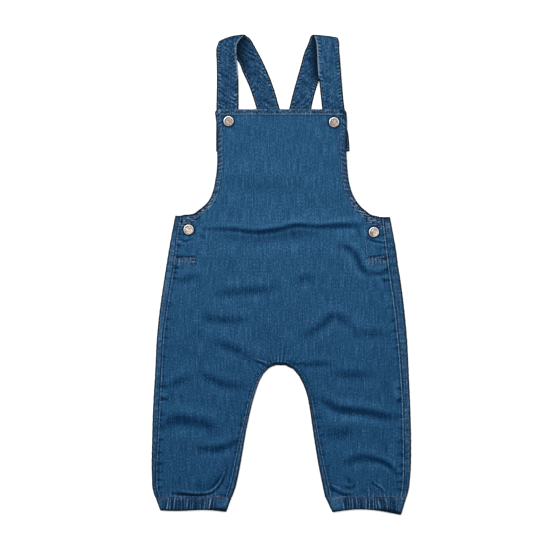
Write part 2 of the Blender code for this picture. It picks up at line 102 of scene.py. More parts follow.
def smoothCurve(table):
    # A curve through each row by its length; columns after x and y follow along
    points = np.array(table, float)
    chords, knots = runAlong(points[:, :2])
    slopes = np.gradient(points, knots, axis=0)

    def at(shares):
        place = np.clip(shares, 0.0, 1.0) * knots[-1]
        low = np.clip(np.searchsorted(knots, place, side="right") - 1, 0, len(chords) - 1)
        step = chords[low][:, None]
        t = (place - knots[low])[:, None] / step
        start = (1 + 2 * t) * (1 - t) ** 2 * points[low]
        end = t**2 * (3 - 2 * t) * points[low + 1]
        leave = t * (1 - t) ** 2 * step * slopes[low]
        arrive = t**2 * (t - 1) * step * slopes[low + 1]
        return start + end + leave + arrive

    at.length = knots[-1]
    return at


def squareTo(along, turn):
    # Directions square to those given, in the plane, on the side that turn picks
    along = along / np.linalg.norm(along, axis=1)[:, None]
    return turn * np.stack((-along[:, 1], along[:, 0]), axis=1)


def toRoute(x, y, route):
    # Distance to a line of points, and the length run along it there
    ends = np.array(route, float)
    nearest = np.full(x.shape, np.inf)
    run = np.zeros(x.shape)
    for start, end, length, before in zip(ends, ends[1:], *runAlong(ends)):
        along = (end - start) / length
        ahead = (x - start[0]) * along[0] + (y - start[1]) * along[1]
        ahead = np.clip(ahead, 0.0, length)
        gap = np.hypot(x - start[0] - ahead * along[0], y - start[1] - ahead * along[1])
        closer = gap < nearest
        nearest = np.where(closer, gap, nearest)
        run = np.where(closer, before + ahead, run)
    return nearest, run


def cloudNoise(x, y, size, seed):
    # Smooth noise from -1 to 1 with hills of the given size
    cells = 64
    spots = np.random.default_rng(seed).uniform(-1.0, 1.0, (cells, cells))
    u, v = x / size + cells, y / size + cells
    column, row = np.floor(u).astype(int), np.floor(v).astype(int)
    right, above = smoothStep(u - column), smoothStep(v - row)

    def spot(across, up):
        return spots[(row + up) % cells, (column + across) % cells]

    lower = spot(0, 0) * (1 - right) + spot(1, 0) * right
    upper = spot(0, 1) * (1 - right) + spot(1, 1) * right
    return lower * (1 - above) + upper * above


def unevenWave(run, pitch, seed, shift=0.0):
    # A wave along a seam whose pitch and strength wander, from -1 to 1
    wander = 0.55 * cloudNoise(run, 0.0, 3.1 * pitch, seed)
    strength = 0.75 + 0.45 * cloudNoise(run, 40.0, 2.3 * pitch, seed + 1)
    return strength * np.sin(2 * math.pi * ((run + shift) / pitch + wander))


def rim(gap, reach):
    # 1 along an edge and for nearly half the reach, then falling softly to 0
    return smoothStep((reach - gap) / (0.55 * reach))


def roundEdge(gap, radius):
    # Share of the half wall that is reached at a distance from a rounded edge
    share = np.clip(gap / radius, 0.0, 1.0)
    return np.sqrt(np.clip(1.0 - (1.0 - share) ** 2, 0.0, 1.0))


class Wire:
    # One socket of a node, which takes part in sums

    def __init__(self, tree, socket):
        self.tree = tree
        self.socket = socket

    def at(self, output):
        return Wire(self.tree, self.socket.node.outputs[output])

    def __add__(self, other):
        return self.tree.maths("ADD", self, other)

    def __radd__(self, other):
        return self.tree.maths("ADD", other, self)

    def __sub__(self, other):
        return self.tree.maths("SUBTRACT", self, other)

    def __rsub__(self, other):
        return self.tree.maths("SUBTRACT", other, self)

    def __mul__(self, other):
        return self.tree.maths("MULTIPLY", self, other)

    def __rmul__(self, other):
        return self.tree.maths("MULTIPLY", other, self)

    def __truediv__(self, other):
        return self.tree.maths("DIVIDE", self, other)

    def __rtruediv__(self, other):
        return self.tree.maths("DIVIDE", other, self)

    def __pow__(self, other):
        return self.tree.maths("POWER", self, other)

    def __rpow__(self, other):
        return self.tree.maths("POWER", other, self)

    def sine(self):
        return self.tree.maths("SINE", self)

    def within(self, low, high):
        # Runs from 0 at low to 1 at high, softly, and stays there
        inputs = {"Value": self, "From Min": low, "From Max": high}
        return self.tree.node("ShaderNodeMapRange", {"interpolation_type": "SMOOTHSTEP"}, inputs)


class Tree:
    # Builds the nodes of a material or of a geometry tree

    def __init__(self, nodeTree):
        self.nodes = nodeTree.nodes
        self.links = nodeTree.links

    def feed(self, socket, value):
        if isinstance(value, Wire):
            self.links.new(value.socket, socket)
        else:
            socket.default_value = value

    def node(self, kind, settings=None, inputs=None):
        made = self.nodes.new(kind)
        for name, value in (settings or {}).items():
            if name == "stops":
                self.setStops(made.color_ramp.elements, value)
            else:
                setattr(made, name, value)
        for name, value in (inputs or {}).items():
            self.feed(made.inputs[name], value)
        return Wire(self, made.outputs[0]) if made.outputs else made

    def setStops(self, elements, stops):
        while len(elements) < len(stops):
            elements.new(0.5)
        for element, (place, colour) in zip(elements, stops):
            element.position = place
            element.color = (*colour, 1.0)

    def maths(self, operation, *values):
        return self.node("ShaderNodeMath", {"operation": operation}, dict(enumerate(values)))

    def vector(self, x, y, z=0.0):
        return self.node("ShaderNodeCombineXYZ", None, {"X": x, "Y": y, "Z": z})

    def attribute(self, name):
        return self.node("ShaderNodeAttribute", {"attribute_name": name}).at("Fac")

    def noise(self, vector, scale=1.0, detail=2.0, roughness=0.5):
        inputs = {"Vector": vector, "Scale": scale, "Detail": detail, "Roughness": roughness}
        return self.node("ShaderNodeTexNoise", None, inputs)

    def random(self, low, high, seed):
        inputs = {2: low, 3: high, "Seed": seed}
        return self.node("FunctionNodeRandomValue", {"data_type": "FLOAT"}, inputs).at(1)

    def mix(self, share, first, second, blend="MIX"):
        # Colours are wires or red, green and blue
        first, second = [
            colour if isinstance(colour, Wire) else (*colour, 1.0) for colour in (first, second)
        ]
        kept = {"data_type": "RGBA", "blend_type": blend}
        return self.node("ShaderNodeMix", kept, {0: share, 6: first, 7: second}).at(2)

    def ramp(self, share, colours):
        stops = list(zip((0.0, 0.5, 1.0), colours))
        return self.node("ShaderNodeValToRGB", {"stops": stops}, {"Fac": share})

    def bump(self, height, distance, strength):
        inputs = {"Height": height, "Distance": distance, "Strength": strength}
        return self.node("ShaderNodeBump", None, inputs)


def newSurface(name):
    surface = bpy.data.materials.new(name)
    surface.use_nodes = True
    return surface, Tree(surface.node_tree)


def finishSurface(surface, tree, **values):
    shader = surface.node_tree.nodes["Principled BSDF"]
    for name, value in values.items():
        tree.feed(shader.inputs[name.replace("_", " ")], value)
    return surface


denimLook = {
    # Three shades each: painted shade in folds and stitched dips, plain cloth, and painted light
    # and rubbed places
    "plain": ((0.0008, 0.0140, 0.043), (0.0098, 0.0500, 0.1120), (0.052, 0.155, 0.275)),
    "worn": ((0.0020, 0.0100, 0.030), (0.0190, 0.0540, 0.1080), (0.130, 0.205, 0.290)),
    "edge": (0.0008, 0.0045, 0.0095),  # painted shade along turned edges, in deep creases and round studs
    "cool": (0.95, 1.01, 0.99),  # drifts of the dye across the cloth
    "violet": (1.12, 0.985, 1.03),
    "driftSpan": (0.38, 0.66),
    # Sizes across and along the cloth in mm, and how much each one changes the shade
    "wale": (0.95, 1.6, 0.10),  # twill lines
    "slub": (1.35, 20.0, 0.62),  # thick places in the yarn
    "fine": (1.15, 2.1, 1.02),
    "cloud": (26.0, 26.0, 0.10),
    "speck": (1.5, 1.5, 1.6),  # rubbed spots where the cloth is worn
    "drift": (9.0, 9.0),  # of the two casts
    "yarn": 0.475,  # mm apart
    "relief": 0.00016,  # metres
    "sheenTint": (0.62, 0.75, 0.92, 1.0),
}


def denimMaterial(name, look):
    surface, tree = newSurface(name)
    place = tree.node("ShaderNodeUVMap", {"uv_map": "cloth"})
    parts = tree.node("ShaderNodeSeparateXYZ", None, {0: place})
    u, v = parts * 1000.0, parts.at("Y") * 1000.0
    # tone carries painted light and shade besides the dye's variation, and dark mixes in painted
    # shade
    tone, worn, dark = [tree.attribute(mark) for mark in marks]
    layers = {"slub": (0.0, 1.0), "fine": (7.0, 1.0), "cloud": (3.0, 2.0), "drift": (11.0, 2.0),
              "speck": (17.0, 2.0)}  # where in the noise, and its detail
    slub, fine, cloud, drift, speck = [
        tree.noise(tree.vector(u / look[kind][0], v / look[kind][1], layer), detail=detail)
        for kind, (layer, detail) in layers.items()
    ]
    phase = u / look["wale"][0] - v / look["wale"][1]
    wale = (phase * (2 * math.pi)).sine() * 0.5 + 0.5
    yarn = (u * (2 * math.pi / look["yarn"])).sine() * 0.5 + 0.5

    def changed(noise, kind):
        return (noise - 0.5) * look[kind][2]

    weave = changed(slub, "slub") + changed(fine, "fine") + changed(wale, "wale")
    rubbed = worn * (speck - 0.5) * look["speck"][2]
    shade = 0.5 + tone * 0.5 + weave * (1.0 - tone * 0.5) + changed(cloud, "cloud") + rubbed
    colour = tree.mix(worn, tree.ramp(shade, look["plain"]), tree.ramp(shade, look["worn"]))
    cast = tree.mix(drift.within(*look["driftSpan"]), look["cool"], look["violet"])
    colour = tree.mix(1.0, colour, cast, "MULTIPLY")
    height = wale * 0.6 + yarn * 0.25 + slub * 0.9
    return finishSurface(
        surface, tree, Base_Color=tree.mix(dark, colour, look["edge"]),
        Roughness=0.82 + (fine - 0.5) * 0.2 + wale * 0.06,
        Normal=tree.bump(height, look["relief"], 0.7),
        Sheen_Weight=0.02, Sheen_Roughness=0.5, Sheen_Tint=look["sheenTint"],
        Specular_IOR_Level=0.035,
    )


# Topstitching thread that the dye has tinted unevenly: its light and dark places
threadLook = {
    "blue": ((0.125, 0.205, 0.300), (0.016, 0.048, 0.095)),
    "pale": ((0.190, 0.310, 0.420), (0.060, 0.130, 0.200)),
    "faded": ((0.080, 0.135, 0.200), (0.012, 0.034, 0.070)),
    "tan": ((0.260, 0.215, 0.190), (0.060, 0.065, 0.085)),
}


def threadMaterial(name, light, dark):
    surface, tree = newSurface(name)
    place = tree.node("ShaderNodeTexCoord").at("Object")
    worn = tree.noise(place, scale=260.0)
    twist = tree.noise(place, scale=2200.0, detail=1.0)
    return finishSurface(
        surface, tree, Base_Color=tree.mix(worn.within(0.38, 0.62), dark, light),
        Roughness=0.6 + (twist - 0.5) * 0.3, Normal=tree.bump(twist, 0.00008, 0.6),
        Sheen_Weight=0.1, Specular_IOR_Level=0.2,
    )


metalLook = {
    "tarnish": {"bib": 0.85, "side": 0.22},  # tarnish of the dish; the painted shade on the rim joins it
    "tarnishAndShadeColour": (0.50, 0.47, 0.47),
    "rim": (0.80, 0.80, 0.815),
    "dish": (0.47, 0.41, 0.36),
    "stain": (0.20, 0.16, 0.14),
}


def metalMaterial(name, look):
    # Nickel caps: a polished rim round a duller, spotted dish, darkened by tarnish and by painted
    # shade on the rim's lower side
    surface, tree = newSurface(name)
    place = tree.node("ShaderNodeTexCoord").at("Object")
    dish = tree.attribute("dish")
    spots = tree.noise(place, scale=330.0, detail=3.0, roughness=0.6)
    grain = tree.noise(place, scale=2600.0)
    middle = tree.mix(spots.within(0.44, 0.66), look["dish"], look["stain"])
    colour = tree.mix(dish, look["rim"], middle)
    return finishSurface(
        surface, tree, Metallic=1.0,
        Base_Color=tree.mix(tree.attribute("tarnish"), colour, look["tarnishAndShadeColour"], "MULTIPLY"),
        Roughness=0.20 + dish * 0.22 + (grain - 0.5) * 0.12,
        Normal=tree.bump(grain * 0.5 + spots * 0.5, 0.00006, 0.5),
    )


denim = denimMaterial("denim", denimLook)
threads = {shade: threadMaterial(f"{shade}Thread", *pair) for shade, pair in threadLook.items()}
metal = metalMaterial("stud_metal", metalLook)
print("materials made")


def addMesh(name, points, faces, surface, uv=None, values=None):
    mesh = bpy.data.meshes.new(name)
    mesh.from_pydata((points * mm).tolist(), [], faces)
    mesh.shade_smooth()
    mesh.materials.append(surface)
    if uv is not None:
        corners = np.empty(len(mesh.loops), int)
        mesh.loops.foreach_get("vertex_index", corners)
        layer = mesh.uv_layers.new(name="cloth")
        layer.data.foreach_set("uv", (uv[corners] * mm).ravel())
    for key, value in (values or {}).items():
        attribute = mesh.attributes.new(key, "FLOAT", "POINT")
        attribute.data.foreach_set("value", np.ascontiguousarray(value, np.float32))
    piece = bpy.data.objects.new(name, mesh)
    bpy.context.scene.collection.objects.link(piece)
    return piece


def gridFaces(index, flip=False):
    corners = [index[:-1, :-1], index[:-1, 1:], index[1:, 1:], index[1:, :-1]]
    faces = np.stack([corner.ravel() for corner in corners], axis=1)
    return faces[:, ::-1] if flip else faces


def faceNormals(points, quads):
    across = points[quads[:, 2]] - points[quads[:, 0]]
    along = points[quads[:, 3]] - points[quads[:, 1]]
    square = np.cross(across, along)
    normals = np.zeros_like(points)
    for corner in range(4):
        np.add.at(normals, quads[:, corner], square)
    return normals / np.maximum(np.linalg.norm(normals, axis=1), 1e-12)[:, None]


def openEdges(quads, count):
    # The points on edges that only one face has
    pairs = np.concatenate([quads[:, [corner, (corner + 1) % 4]] for corner in range(4)])
    pairs = np.sort(pairs, axis=1)
    found, times = np.unique(pairs, axis=0, return_counts=True)
    opened = np.zeros(count, bool)
    opened[found[times == 1].ravel()] = True
    return opened


def wallShell(name, grids, wall, surface, carried=()):
    # Grids of the wall's middle, welded where they meet, become one closed shell. Each grid has
    # points, profile (share of the half wall), outside and inside relief, uv, and marks for its
    # outer and inner face. Fields named in carried are kept on the outer face as attributes.
    keys = ["profile", "outside", "inside", *carried]
    keys += [mark + face for mark in marks for face in ("Out", "In")]
    shapes = [grid["points"].shape[:2] for grid in grids]
    points = np.concatenate([grid["points"].reshape(-1, 3) for grid in grids])
    uv = np.concatenate([grid["uv"].reshape(-1, 2) for grid in grids])
    _, first, weld = np.unique(
        np.round(points * 1000).astype(np.int64), axis=0, return_index=True, return_inverse=True
    )
    points, uv = points[first], uv[first]
    fields = {}
    for key in keys:
        values = [np.broadcast_to(grid.get(key, 0.0), size) for grid, size in zip(grids, shapes)]
        fields[key] = np.concatenate([value.ravel() for value in values])[first]
    quads, start = [], 0
    for grid, (rows, columns) in zip(grids, shapes):
        index = weld.ravel()[start:start + rows * columns].reshape(rows, columns)
        quads.append(gridFaces(index, grid.get("flip", False)))
        start += rows * columns
    quads = np.concatenate(quads)
    normals = faceNormals(points, quads)
    opened = openEdges(quads, len(points))
    closed = ~opened
    half = np.where(opened, 0.0, wall / 2 * fields["profile"])
    outer = points + normals * (half + np.where(opened, 0.0, fields["outside"]))[:, None]
    under = points - normals * (half + np.where(opened, 0.0, fields["inside"]))[:, None]
    inner = np.arange(len(points))
    inner[closed] = len(points) + np.arange(np.count_nonzero(closed))
    values = {
        mark: np.concatenate((fields[mark + "Out"], fields[mark + "In"][closed])) for mark in marks
    }
    for key in carried:
        values[key] = np.concatenate((fields[key], 0.0 * fields[key][closed]))
    faces = quads.tolist() + inner[quads][:, ::-1].tolist()
    allPoints = np.concatenate((outer, under[closed]))
    return addMesh(name, allPoints, faces, surface, np.concatenate((uv, uv[closed])), values)


def seat(piece, slotName, *nodes):
    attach(piece, "root")
    if nodes:
        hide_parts(*nodes)
    return piece


# The bib from its top corner down to the armhole's foot: x, y
bibEdge = {
    "left": [
        (-80, 194.2), (-78.7, 184.6), (-77.4, 172.6), (-77.4, 148.6), (-77.2, 136.6),
        (-77.9, 124.6), (-79.6, 112.6), (-82.1, 100.6), (-87.2, 88.8), (-93.2, 82.2),
        (-100, 76.8), (-105.2, 73), (-110.5, 71.8), (-117.5, 71.4),
    ],
    "right": [
        (78, 194.2), (78.7, 184.6), (78, 165), (77.9, 148), (78.5, 136.6),
        (79.3, 124.6), (80.8, 112.6), (83.8, 100.6), (89, 89.4), (96.5, 80.2),
        (102.6, 75.2), (107.5, 71.6), (113.5, 70.1),
    ],
}

# The back from its top corner towards the side: x, y
backEdge = {
    "left": [
        (-29, 188.8), (-30, 175), (-34, 150), (-42, 125), (-56, 103),
        (-76, 86), (-95, 76), (-107, 72), (-116, 70.6),
    ],
    "right": [
        (37, 188.8), (37.5, 175), (40, 150), (46, 125), (58, 103),
        (78, 85), (97, 75), (107, 71), (117, 69),
    ],
}

# The side from the armhole to the cuff: x, y, width of the back's strip on the front face
sideEdge = {
    "left": [
        (-127.3, 70.8, 5.2), (-132, 46.6, 5.6), (-135.2, 28.6, 7.2), (-138.1, 10.6, 7.8),
        (-140.9, -7.4, 7.8), (-144.5, -31.4, 7.4), (-149.2, -73.4, 6.6), (-151.4, -115.4, 6.4),
        (-153.9, -157.4, 6.6), (-155.2, -199.4, 6), (-155.5, -241.4, 4.4),
        (-154.2, -259.4, 4), (-151.5, -267.5, 4),
    ],
    "right": [
        (130, 69.2, 7.2), (134.2, 46.6, 8.8), (137.4, 28.6, 9.7), (139.7, 10.6, 9.9),
        (142.7, -7.4, 10.4), (145.9, -31.4, 10), (150.2, -73.4, 9.6), (152.4, -115.4, 8.2),
        (154.3, -157.4, 7.6), (155.4, -199.4, 7.8), (154.4, -241.4, 6.8),
        (152.3, -259.4, 6), (150, -267.5, 5.4),
    ],
}

# The inner leg from the crotch to the cuff: x, y, width of the strip
innerEdge = {
    "left": [
        (0, -109, 3), (-6, -109, 3), (-11.6, -110.6, 3), (-18.4, -115.6, 3),
        (-25, -125, 3), (-29.8, -137, 3), (-34.3, -151.4, 3), (-39, -170.6, 3),
        (-43.4, -192.2, 3.8), (-47.4, -216.2, 4.8), (-51.8, -240.2, 5.5), (-56.6, -259.4, 5.5),
        (-59.8, -267.5, 5.5),
    ],
    "right": [
        (0, -109, 3), (4, -109, 3), (8, -110.8, 3), (13, -113.2, 3),
        (19.6, -120.2, 3), (25.2, -129.8, 3), (30.6, -144.2, 3), (34, -161, 3),
        (36.8, -180.2, 3.4), (40.4, -204.2, 4.2), (44.4, -228.2, 5), (49.2, -252.2, 5.5),
        (52.4, -267.5, 5.5),
    ],
}
edgeTables = {"side": sideEdge, "inner": innerEdge}

outline = {
    "armholeFoot": 68.5,  # where the front's middle is level with the foot of its armholes
    "rolled": 0.25,  # the folded edges stand out by this
    "backTop": 188.8,
    "backFoot": 69.0,
    "crotchShare": 0.33,  # share of the side seam above the row that reaches the crotch
    "cornerPower": 60,  # how late the bib's top edge drops to its corner
    "bibRows": 128,
    "bodyRows": 160,
    "bodyRun": 112.0,  # length of the side beside them
    "legRows": 222,
    "underStep": 4,  # the underside has one row for so many of the face
    "hemPower": 50,  # how late a leg's edge drops to its hem
}
edgeSteps = (0.0, 0.1, 0.3, 0.6, 1.2)  # points follow a rounded edge closely, then spread
seamSteps = (*edgeSteps, 1.9, 2.6, 3.4, 4.2, 5.0, 5.8, 6.6, 7.4, 8.2, 9.2, 10.4, 12.0)
innerSteps = (*edgeSteps, 1.9, 2.7, 3.6, 4.8, 6.4, 8.6)


def turnOf(side):
    return -1.0 if side == "left" else 1.0


def edgeShares(start, rows, length, ends):
    # Shares of a length, even at first and then closing up at the distances from its end
    closing = 1.0 - np.array(ends[::-1]) / length
    return np.concatenate((np.linspace(start, closing[0], rows)[:-1], closing))


def topShares(length, rows):
    # Shares of a length, close together at its start and then even
    near = np.array(edgeSteps) / length
    return np.concatenate((near[:-1], np.linspace(near[-1], 1.0, rows)))[:-1]


def edgeLine(table, shares, turn):
    # Points of an edge, the direction out of the cloth there, and the strip's width
    curve = smoothCurve(table)
    rows = curve(shares)
    ahead = curve(np.minimum(shares + 0.002, 1.0))[:, :2]
    behind = curve(np.maximum(shares - 0.002, 0.0))[:, :2]
    return rows[:, :2], squareTo(ahead - behind, turn), rows[:, 2:3]


def foldLine(side, edge):
    # The back's folded edge from the armhole or the crotch to the cuff, as edgeLine gives it
    table, rows, turn = edgeTables[edge][side], outline["legRows"], turnOf(side)
    length = smoothCurve(table).length
    if edge == "side":
        body = outline["crotchShare"] * topShares(outline["bodyRun"], outline["bodyRows"])
        legs = edgeShares(outline["crotchShare"], rows, length, edgeSteps)
        line, outward, strip = edgeLine(table, np.concatenate((body, legs)), turn)
    else:
        line, outward, strip = edgeLine(table, edgeShares(0.0, rows, length, edgeSteps), -turn)
        outward[0] = (0.0, -1.0)  # both halves meet at the crotch
    return line + outward * outline["rolled"], outward, strip + outline["rolled"]


def levelHem(line):
    # Brings a leg's edge down to the hem over its last few millimetres
    share = np.linspace(0.0, 1.0, len(line)) ** outline["hemPower"]
    line[:, 1] += (legHem - line[-1, 1]) * share
    return line


def halfPanel(topY, foot, armhole, seam, arch):
    # Inner and outer ends of every row of half a panel, and the row that reaches the crotch
    bodyY = foot + (arch[0][1] - foot) * topShares(outline["bodyRun"], outline["bodyRows"])
    middleY = np.concatenate((topY, bodyY))
    middle = np.stack((0.0 * middleY, middleY), axis=1)
    return np.concatenate((middle, arch)), np.concatenate((armhole, seam)), len(middleY)


# Creases pressed into the front: width and depth of the trough and the x, y points it follows.
# A negative depth raises a ridge.
creases = [
    (9.0, 0.6, [(-80, 49), (-40, 45), (10, 50), (60, 54)]),
    (2.6, 2.15, [(-92, 54), (-56, 53.5), (-33, 50.5), (-4, 53.5), (17, 58.5), (45, 56.8),
                 (68, 58.8), (89, 59.4)]),
    (4.0, 1.2, [(52, 55.5), (72, 57.5), (90, 58.4), (100, 60)]),
    (4.0, 2.2, [(70, 34.5), (84.6, 29), (92, 17.6), (97, 7), (107.4, -1.3)]),
    (2.8, 1.3, [(107.4, 1.8), (118, 0.7), (131, 4)]),
    (2.5, 0.8, [(119.4, -4.4), (126.6, -9.2)]),
    (4.5, 1.0, [(-124, -8.8), (-98.5, -1.3)]),
    (2.2, 0.8, [(-130, 2.2), (-123, 1.0)]),
    (6.0, 1.2, [(-77.4, -23), (-46, -20), (-12.6, -17), (-4, -14)]),
    (6.0, 0.7, [(17.4, -7.7), (37.8, -3.2)]),
    (5.5, 0.9, [(-94, -51), (-73, -54.8), (-38, -54)]),
    (5.6, 1.1, [(25.8, -74.4), (46.7, -62.6), (64.7, -50), (78.4, -58.8), (86.8, -67.4)]),
    (5.6, 1.0, [(-84, -81), (-65, -85.8), (-50, -92.8), (-41.6, -98.6), (-30, -105.6)]),
    (1.4, 3.1, [(-33, -104), (-25.8, -106), (-14.6, -111.2)]),
    (1.0, -1.3, [(-31, -101.4), (-24, -103.4), (-14, -108.4)]),
    (4.0, 1.0, [(21.5, -110.0), (41.4, -107.6), (61.4, -108.4)]),
    (1.4, 1.8, [(15, -107.8), (21, -107.8), (27.4, -106.6)]),
    (5.0, 0.9, [(-136, -134.6), (-122, -128), (-109, -124.4)]),
    (5.5, 1.1, [(-98, -119.6), (-86, -124.8), (-73, -130.4), (-44, -135.6)]),
    (7.5, 1.7, [(-143, -182), (-124, -174.5), (-109, -176), (-88, -180.8), (-77.4, -187.7)]),
    (5.0, -0.7, [(-143, -140), (-141, -158)]),
    (5.0, -0.7, [(137, -126), (138, -148)]),
    (4.6, 1.9, [(-100, -208), (-90, -209.8), (-76, -209.4), (-64, -206.4), (-50, -198)]),
    (1.6, 1.3, [(-65, -232), (-69.6, -245), (-74.6, -254), (-81, -260.4), (-92, -265.4)]),
    (1.2, -1.6, [(-67, -233), (-72, -245), (-77, -253), (-83.6, -259), (-95, -263.4)]),
    (1.6, 0.8, [(-70, -236), (-75, -246), (-80, -252.6), (-88, -258.4)]),
    (7.0, 0.5, [(-66, -240), (-84, -252), (-104, -256)]),
    (5.0, 2.3, [(40, -148.4), (55, -154.6), (65.4, -160.6), (78.4, -163.4), (101, -165.6),
                (120, -169.8), (139, -173)]),
    (6.0, 0.8, [(61.4, -119.3), (88.8, -120.4), (107.8, -121.3)]),
    (8.0, 0.9, [(54, -188.6), (67.8, -190.8), (84.6, -188.8)]),
    (5.0, 1.8, [(78, -226.6), (90, -221), (104, -220.8), (118, -224)]),
    (3.0, 2.0, [(108, -221.4), (122, -225.4), (131, -231), (139, -241)]),
    (2.5, 0.9, [(57, -250), (64, -262)]),
    (3.0, 0.8, [(77.4, -243), (86, -251.6)]),
    (1.2, -1.2, [(58, -252.5), (66, -255), (73, -257.4)]),
    (2.0, 1.7, [(74, -254.5), (82, -256.5), (90, -253.6)]),
    (1.1, -1.3, [(103.4, -256), (105.6, -261), (104.4, -266)]),
    (1.4, 1.3, [(107, -248.6), (116, -255), (123, -262.6)]),
    (1.1, -1.1, [(110.4, -248.4), (119.4, -254.8), (126.6, -261.6)]),
    (2.4, 0.6, [(97, -257.6), (101, -264.8)]),
    (6.0, 0.5, [(84.6, -72.8), (114, -70.8), (131, -72.8)]),
    (12.0, 0.15, [(-46, 106), (17, 107)]),
    (1.5, 2.7, [(-123.4, 44), (-119.4, 41.2), (-114.6, 40), (-108, 42.8)]),
    (2.5, 0.8, [(-98, 48), (-91, 42)]),
    (2.5, 0.8, [(91.5, 57), (93, 50), (95, 44)]),
    (5.0, -0.6, [(134, -200), (135, -220)]),
    (1.4, 2.8, [(101.2, 44.2), (106, 41.6), (113, 39.6), (122, 38.2), (129.5, 38.0)]),
    (1.5, 4.2, [(-131, -262.8), (-114, -264.6), (-98, -265.0), (-83, -262.6)]),
    (1.2, 1.8, [(-127, -260.6), (-116, -262.4), (-106, -263.4)]),
    (1.6, 2.9, [(58, -257.4), (68, -261.4), (77, -264.4), (86, -264.8)]),
    (1.2, 2.2, [(68, -263.4), (78, -266.2)]),
]

# Side openings as x, y: the facing's stitched line, the bar across its foot, and the tacks in tan
# thread there and at the cuff
plackets = {
    "left": {
        "line": [(-97.8, 58), (-98.6, 46), (-101.6, 30), (-105.4, 13)],
        "bar": [[(-127, 19.6), (-105.4, 19.2)], [(-127, 15), (-105.4, 14.2)],
                [(-104.8, 19.6), (-105.6, 12.8)]],
        "tacks": [[(-128.4, 20.4), (-129.4, 14.6)],
                  [(-77, -266.6), (-70, -266)], [(-127, -268.4), (-118, -269)]],
    },
    "right": {
        "line": [(99.4, 58), (100.2, 44), (102.4, 28), (104.4, 13)],
        "bar": [[(104.6, 18.8), (127.2, 21.6)], [(104.6, 14), (127.8, 16)]],
        "tacks": [[(105, 16.4), (113, 17.6)], [(127.2, 21.6), (128, 15)],
                  [(64, -271.6), (67.4, -268.6), (75.4, -267)]],
    },
}

# Corners as x, y, how far the lower edge bows up in its middle and sways on its inner half, and
# the gathered share of the width from the inner leg
cuffTop = legHem - 0.04
cuffs = {
    "left": {
        "top": ((-59.9, cuffTop), (-151.4, cuffTop)),
        "bottom": ((-66.2, -285.2), (-145.6, -283.5)),
        "bow": 1,
        "sway": 0.9,
        "gathered": (0.15, 0.95),
    },
    "right": {
        "top": ((52.6, cuffTop), (150, cuffTop)),
        "bottom": ((61.1, -285.5), (143.7, -288.8)),
        "bow": 4.7,
        "sway": 0.2,
        "gathered": (0.17, 0.93),
    },
}


def cuffSpan(side):
    # Where the cuff's gathers start and end across its top
    (inner, _), (outer, _) = cuffs[side]["top"]
    return [inner + (outer - inner) * share for share in cuffs[side]["gathered"]]


frontLook = {
    "columns": 60,
    "hemWidth": {"left": 6.6, "right": 7.4},  # turned hems round the armholes
    "hemShade": {"left": 0.16, "right": 0.28},
    # the hems run down into the side openings and leave a corner free: x, y
    "hemEnd": {
        "left": [(-104.5, 73.6), (-109.0, 70.6), (-115.0, 67.4), (-123.5, 63.6)],
        "right": [(103.5, 74.2), (109.5, 70.0), (116.0, 66.6), (124.5, 63.0)],
    },
    "hemSpread": (94.0, 10.0, 1.6),  # from here outward, over this run, they widen by this
    "topHemWidth": 6.2,
    "hemRise": 0.42,
    "armRope": (5.4, 0.5),  # the hems' twisted puckers: pitch and slant
    "topRope": (3.4, 0.1),
    "ropeHeight": 0.22,
    # painted light and shade on the hems' puckers
    "ropeShade": 0.80,
    "streakShade": 1.25,  # short pale strokes that run with the hem lower down
    "seamRise": 0.28,
    "seamWidth": 5.0,
    "tickPitch": 13.5,  # short puckers along the long seams
    "tickHeight": 0.50,
    "tickReach": 9.0,
    # painted light and shade on the seams' puckers
    "tickShade": 1.9,
    "smallShade": 0.45,
    "waviness": 0.30,
    "waveSize": 34.0,
    "crumple": 0.07,
    "crumpleSize": 7.5,
    "creaseFade": 4.0,
    "creaseDepth": 1.2,  # times the depths in the table
    "strapRise": 1.15,  # over the strap ends on the back
    "strapPatch": (-36.0, 42.0, 154.0),  # where that is: left, right and foot
    "padLevel": 9.0,  # the cloth is level round a stud
    "padShaped": 24.0,
    "facingRise": 0.30,
    "barHeight": 0.14,
    # painted light and shade on the bar's puckers
    "barShade": 0.85,
    "fanMiddle": (-3.0, -138.0),  # the crotch's gathers spread from here
    "fanHeight": 0.26,
    # painted light and shade on the crotch's gathers
    "fanShade": 0.75,
    "gatherPitch": 4.9,
    "gatherHeight": 0.34,
    # painted light and shade on the legs' gathers
    "gatherShade": 0.62,
    "strainHeight": 0.10,  # round the studs
    # painted light and shade on the strain round the studs
    "strainShade": 0.14,
}
creaseLook = {
    "ridge": 0.28,  # share of the depth that stands up beside a trough
    "ridgeAt": 1.9,  # how far beside it, in widths
    "reach": 3.5,  # how far a crease is worked out, in widths
    # painted shade in the troughs and painted light on the ridges beside them
    "dark": 0.68,
    "pale": 0.18,
    "shut": 0.95,  # painted shade in a trough deeper than this next depth
    "shutFrom": 2.4,
}
# Painted shade that deepens down the legs, as the light falls off there: y and shade
paintedFalloff = ((-230.0, -120.0, -60.0, 20.0, 120.0), (-0.31, -0.25, -0.16, -0.07, 0.0))

studs = {
    node: (nodeBox(node)[0][:2] + nodeBox(node)[1][:2]) / 2
    for node in ("stud_bib_left", "stud_bib_right", "stud_side_left", "stud_side_right")
}


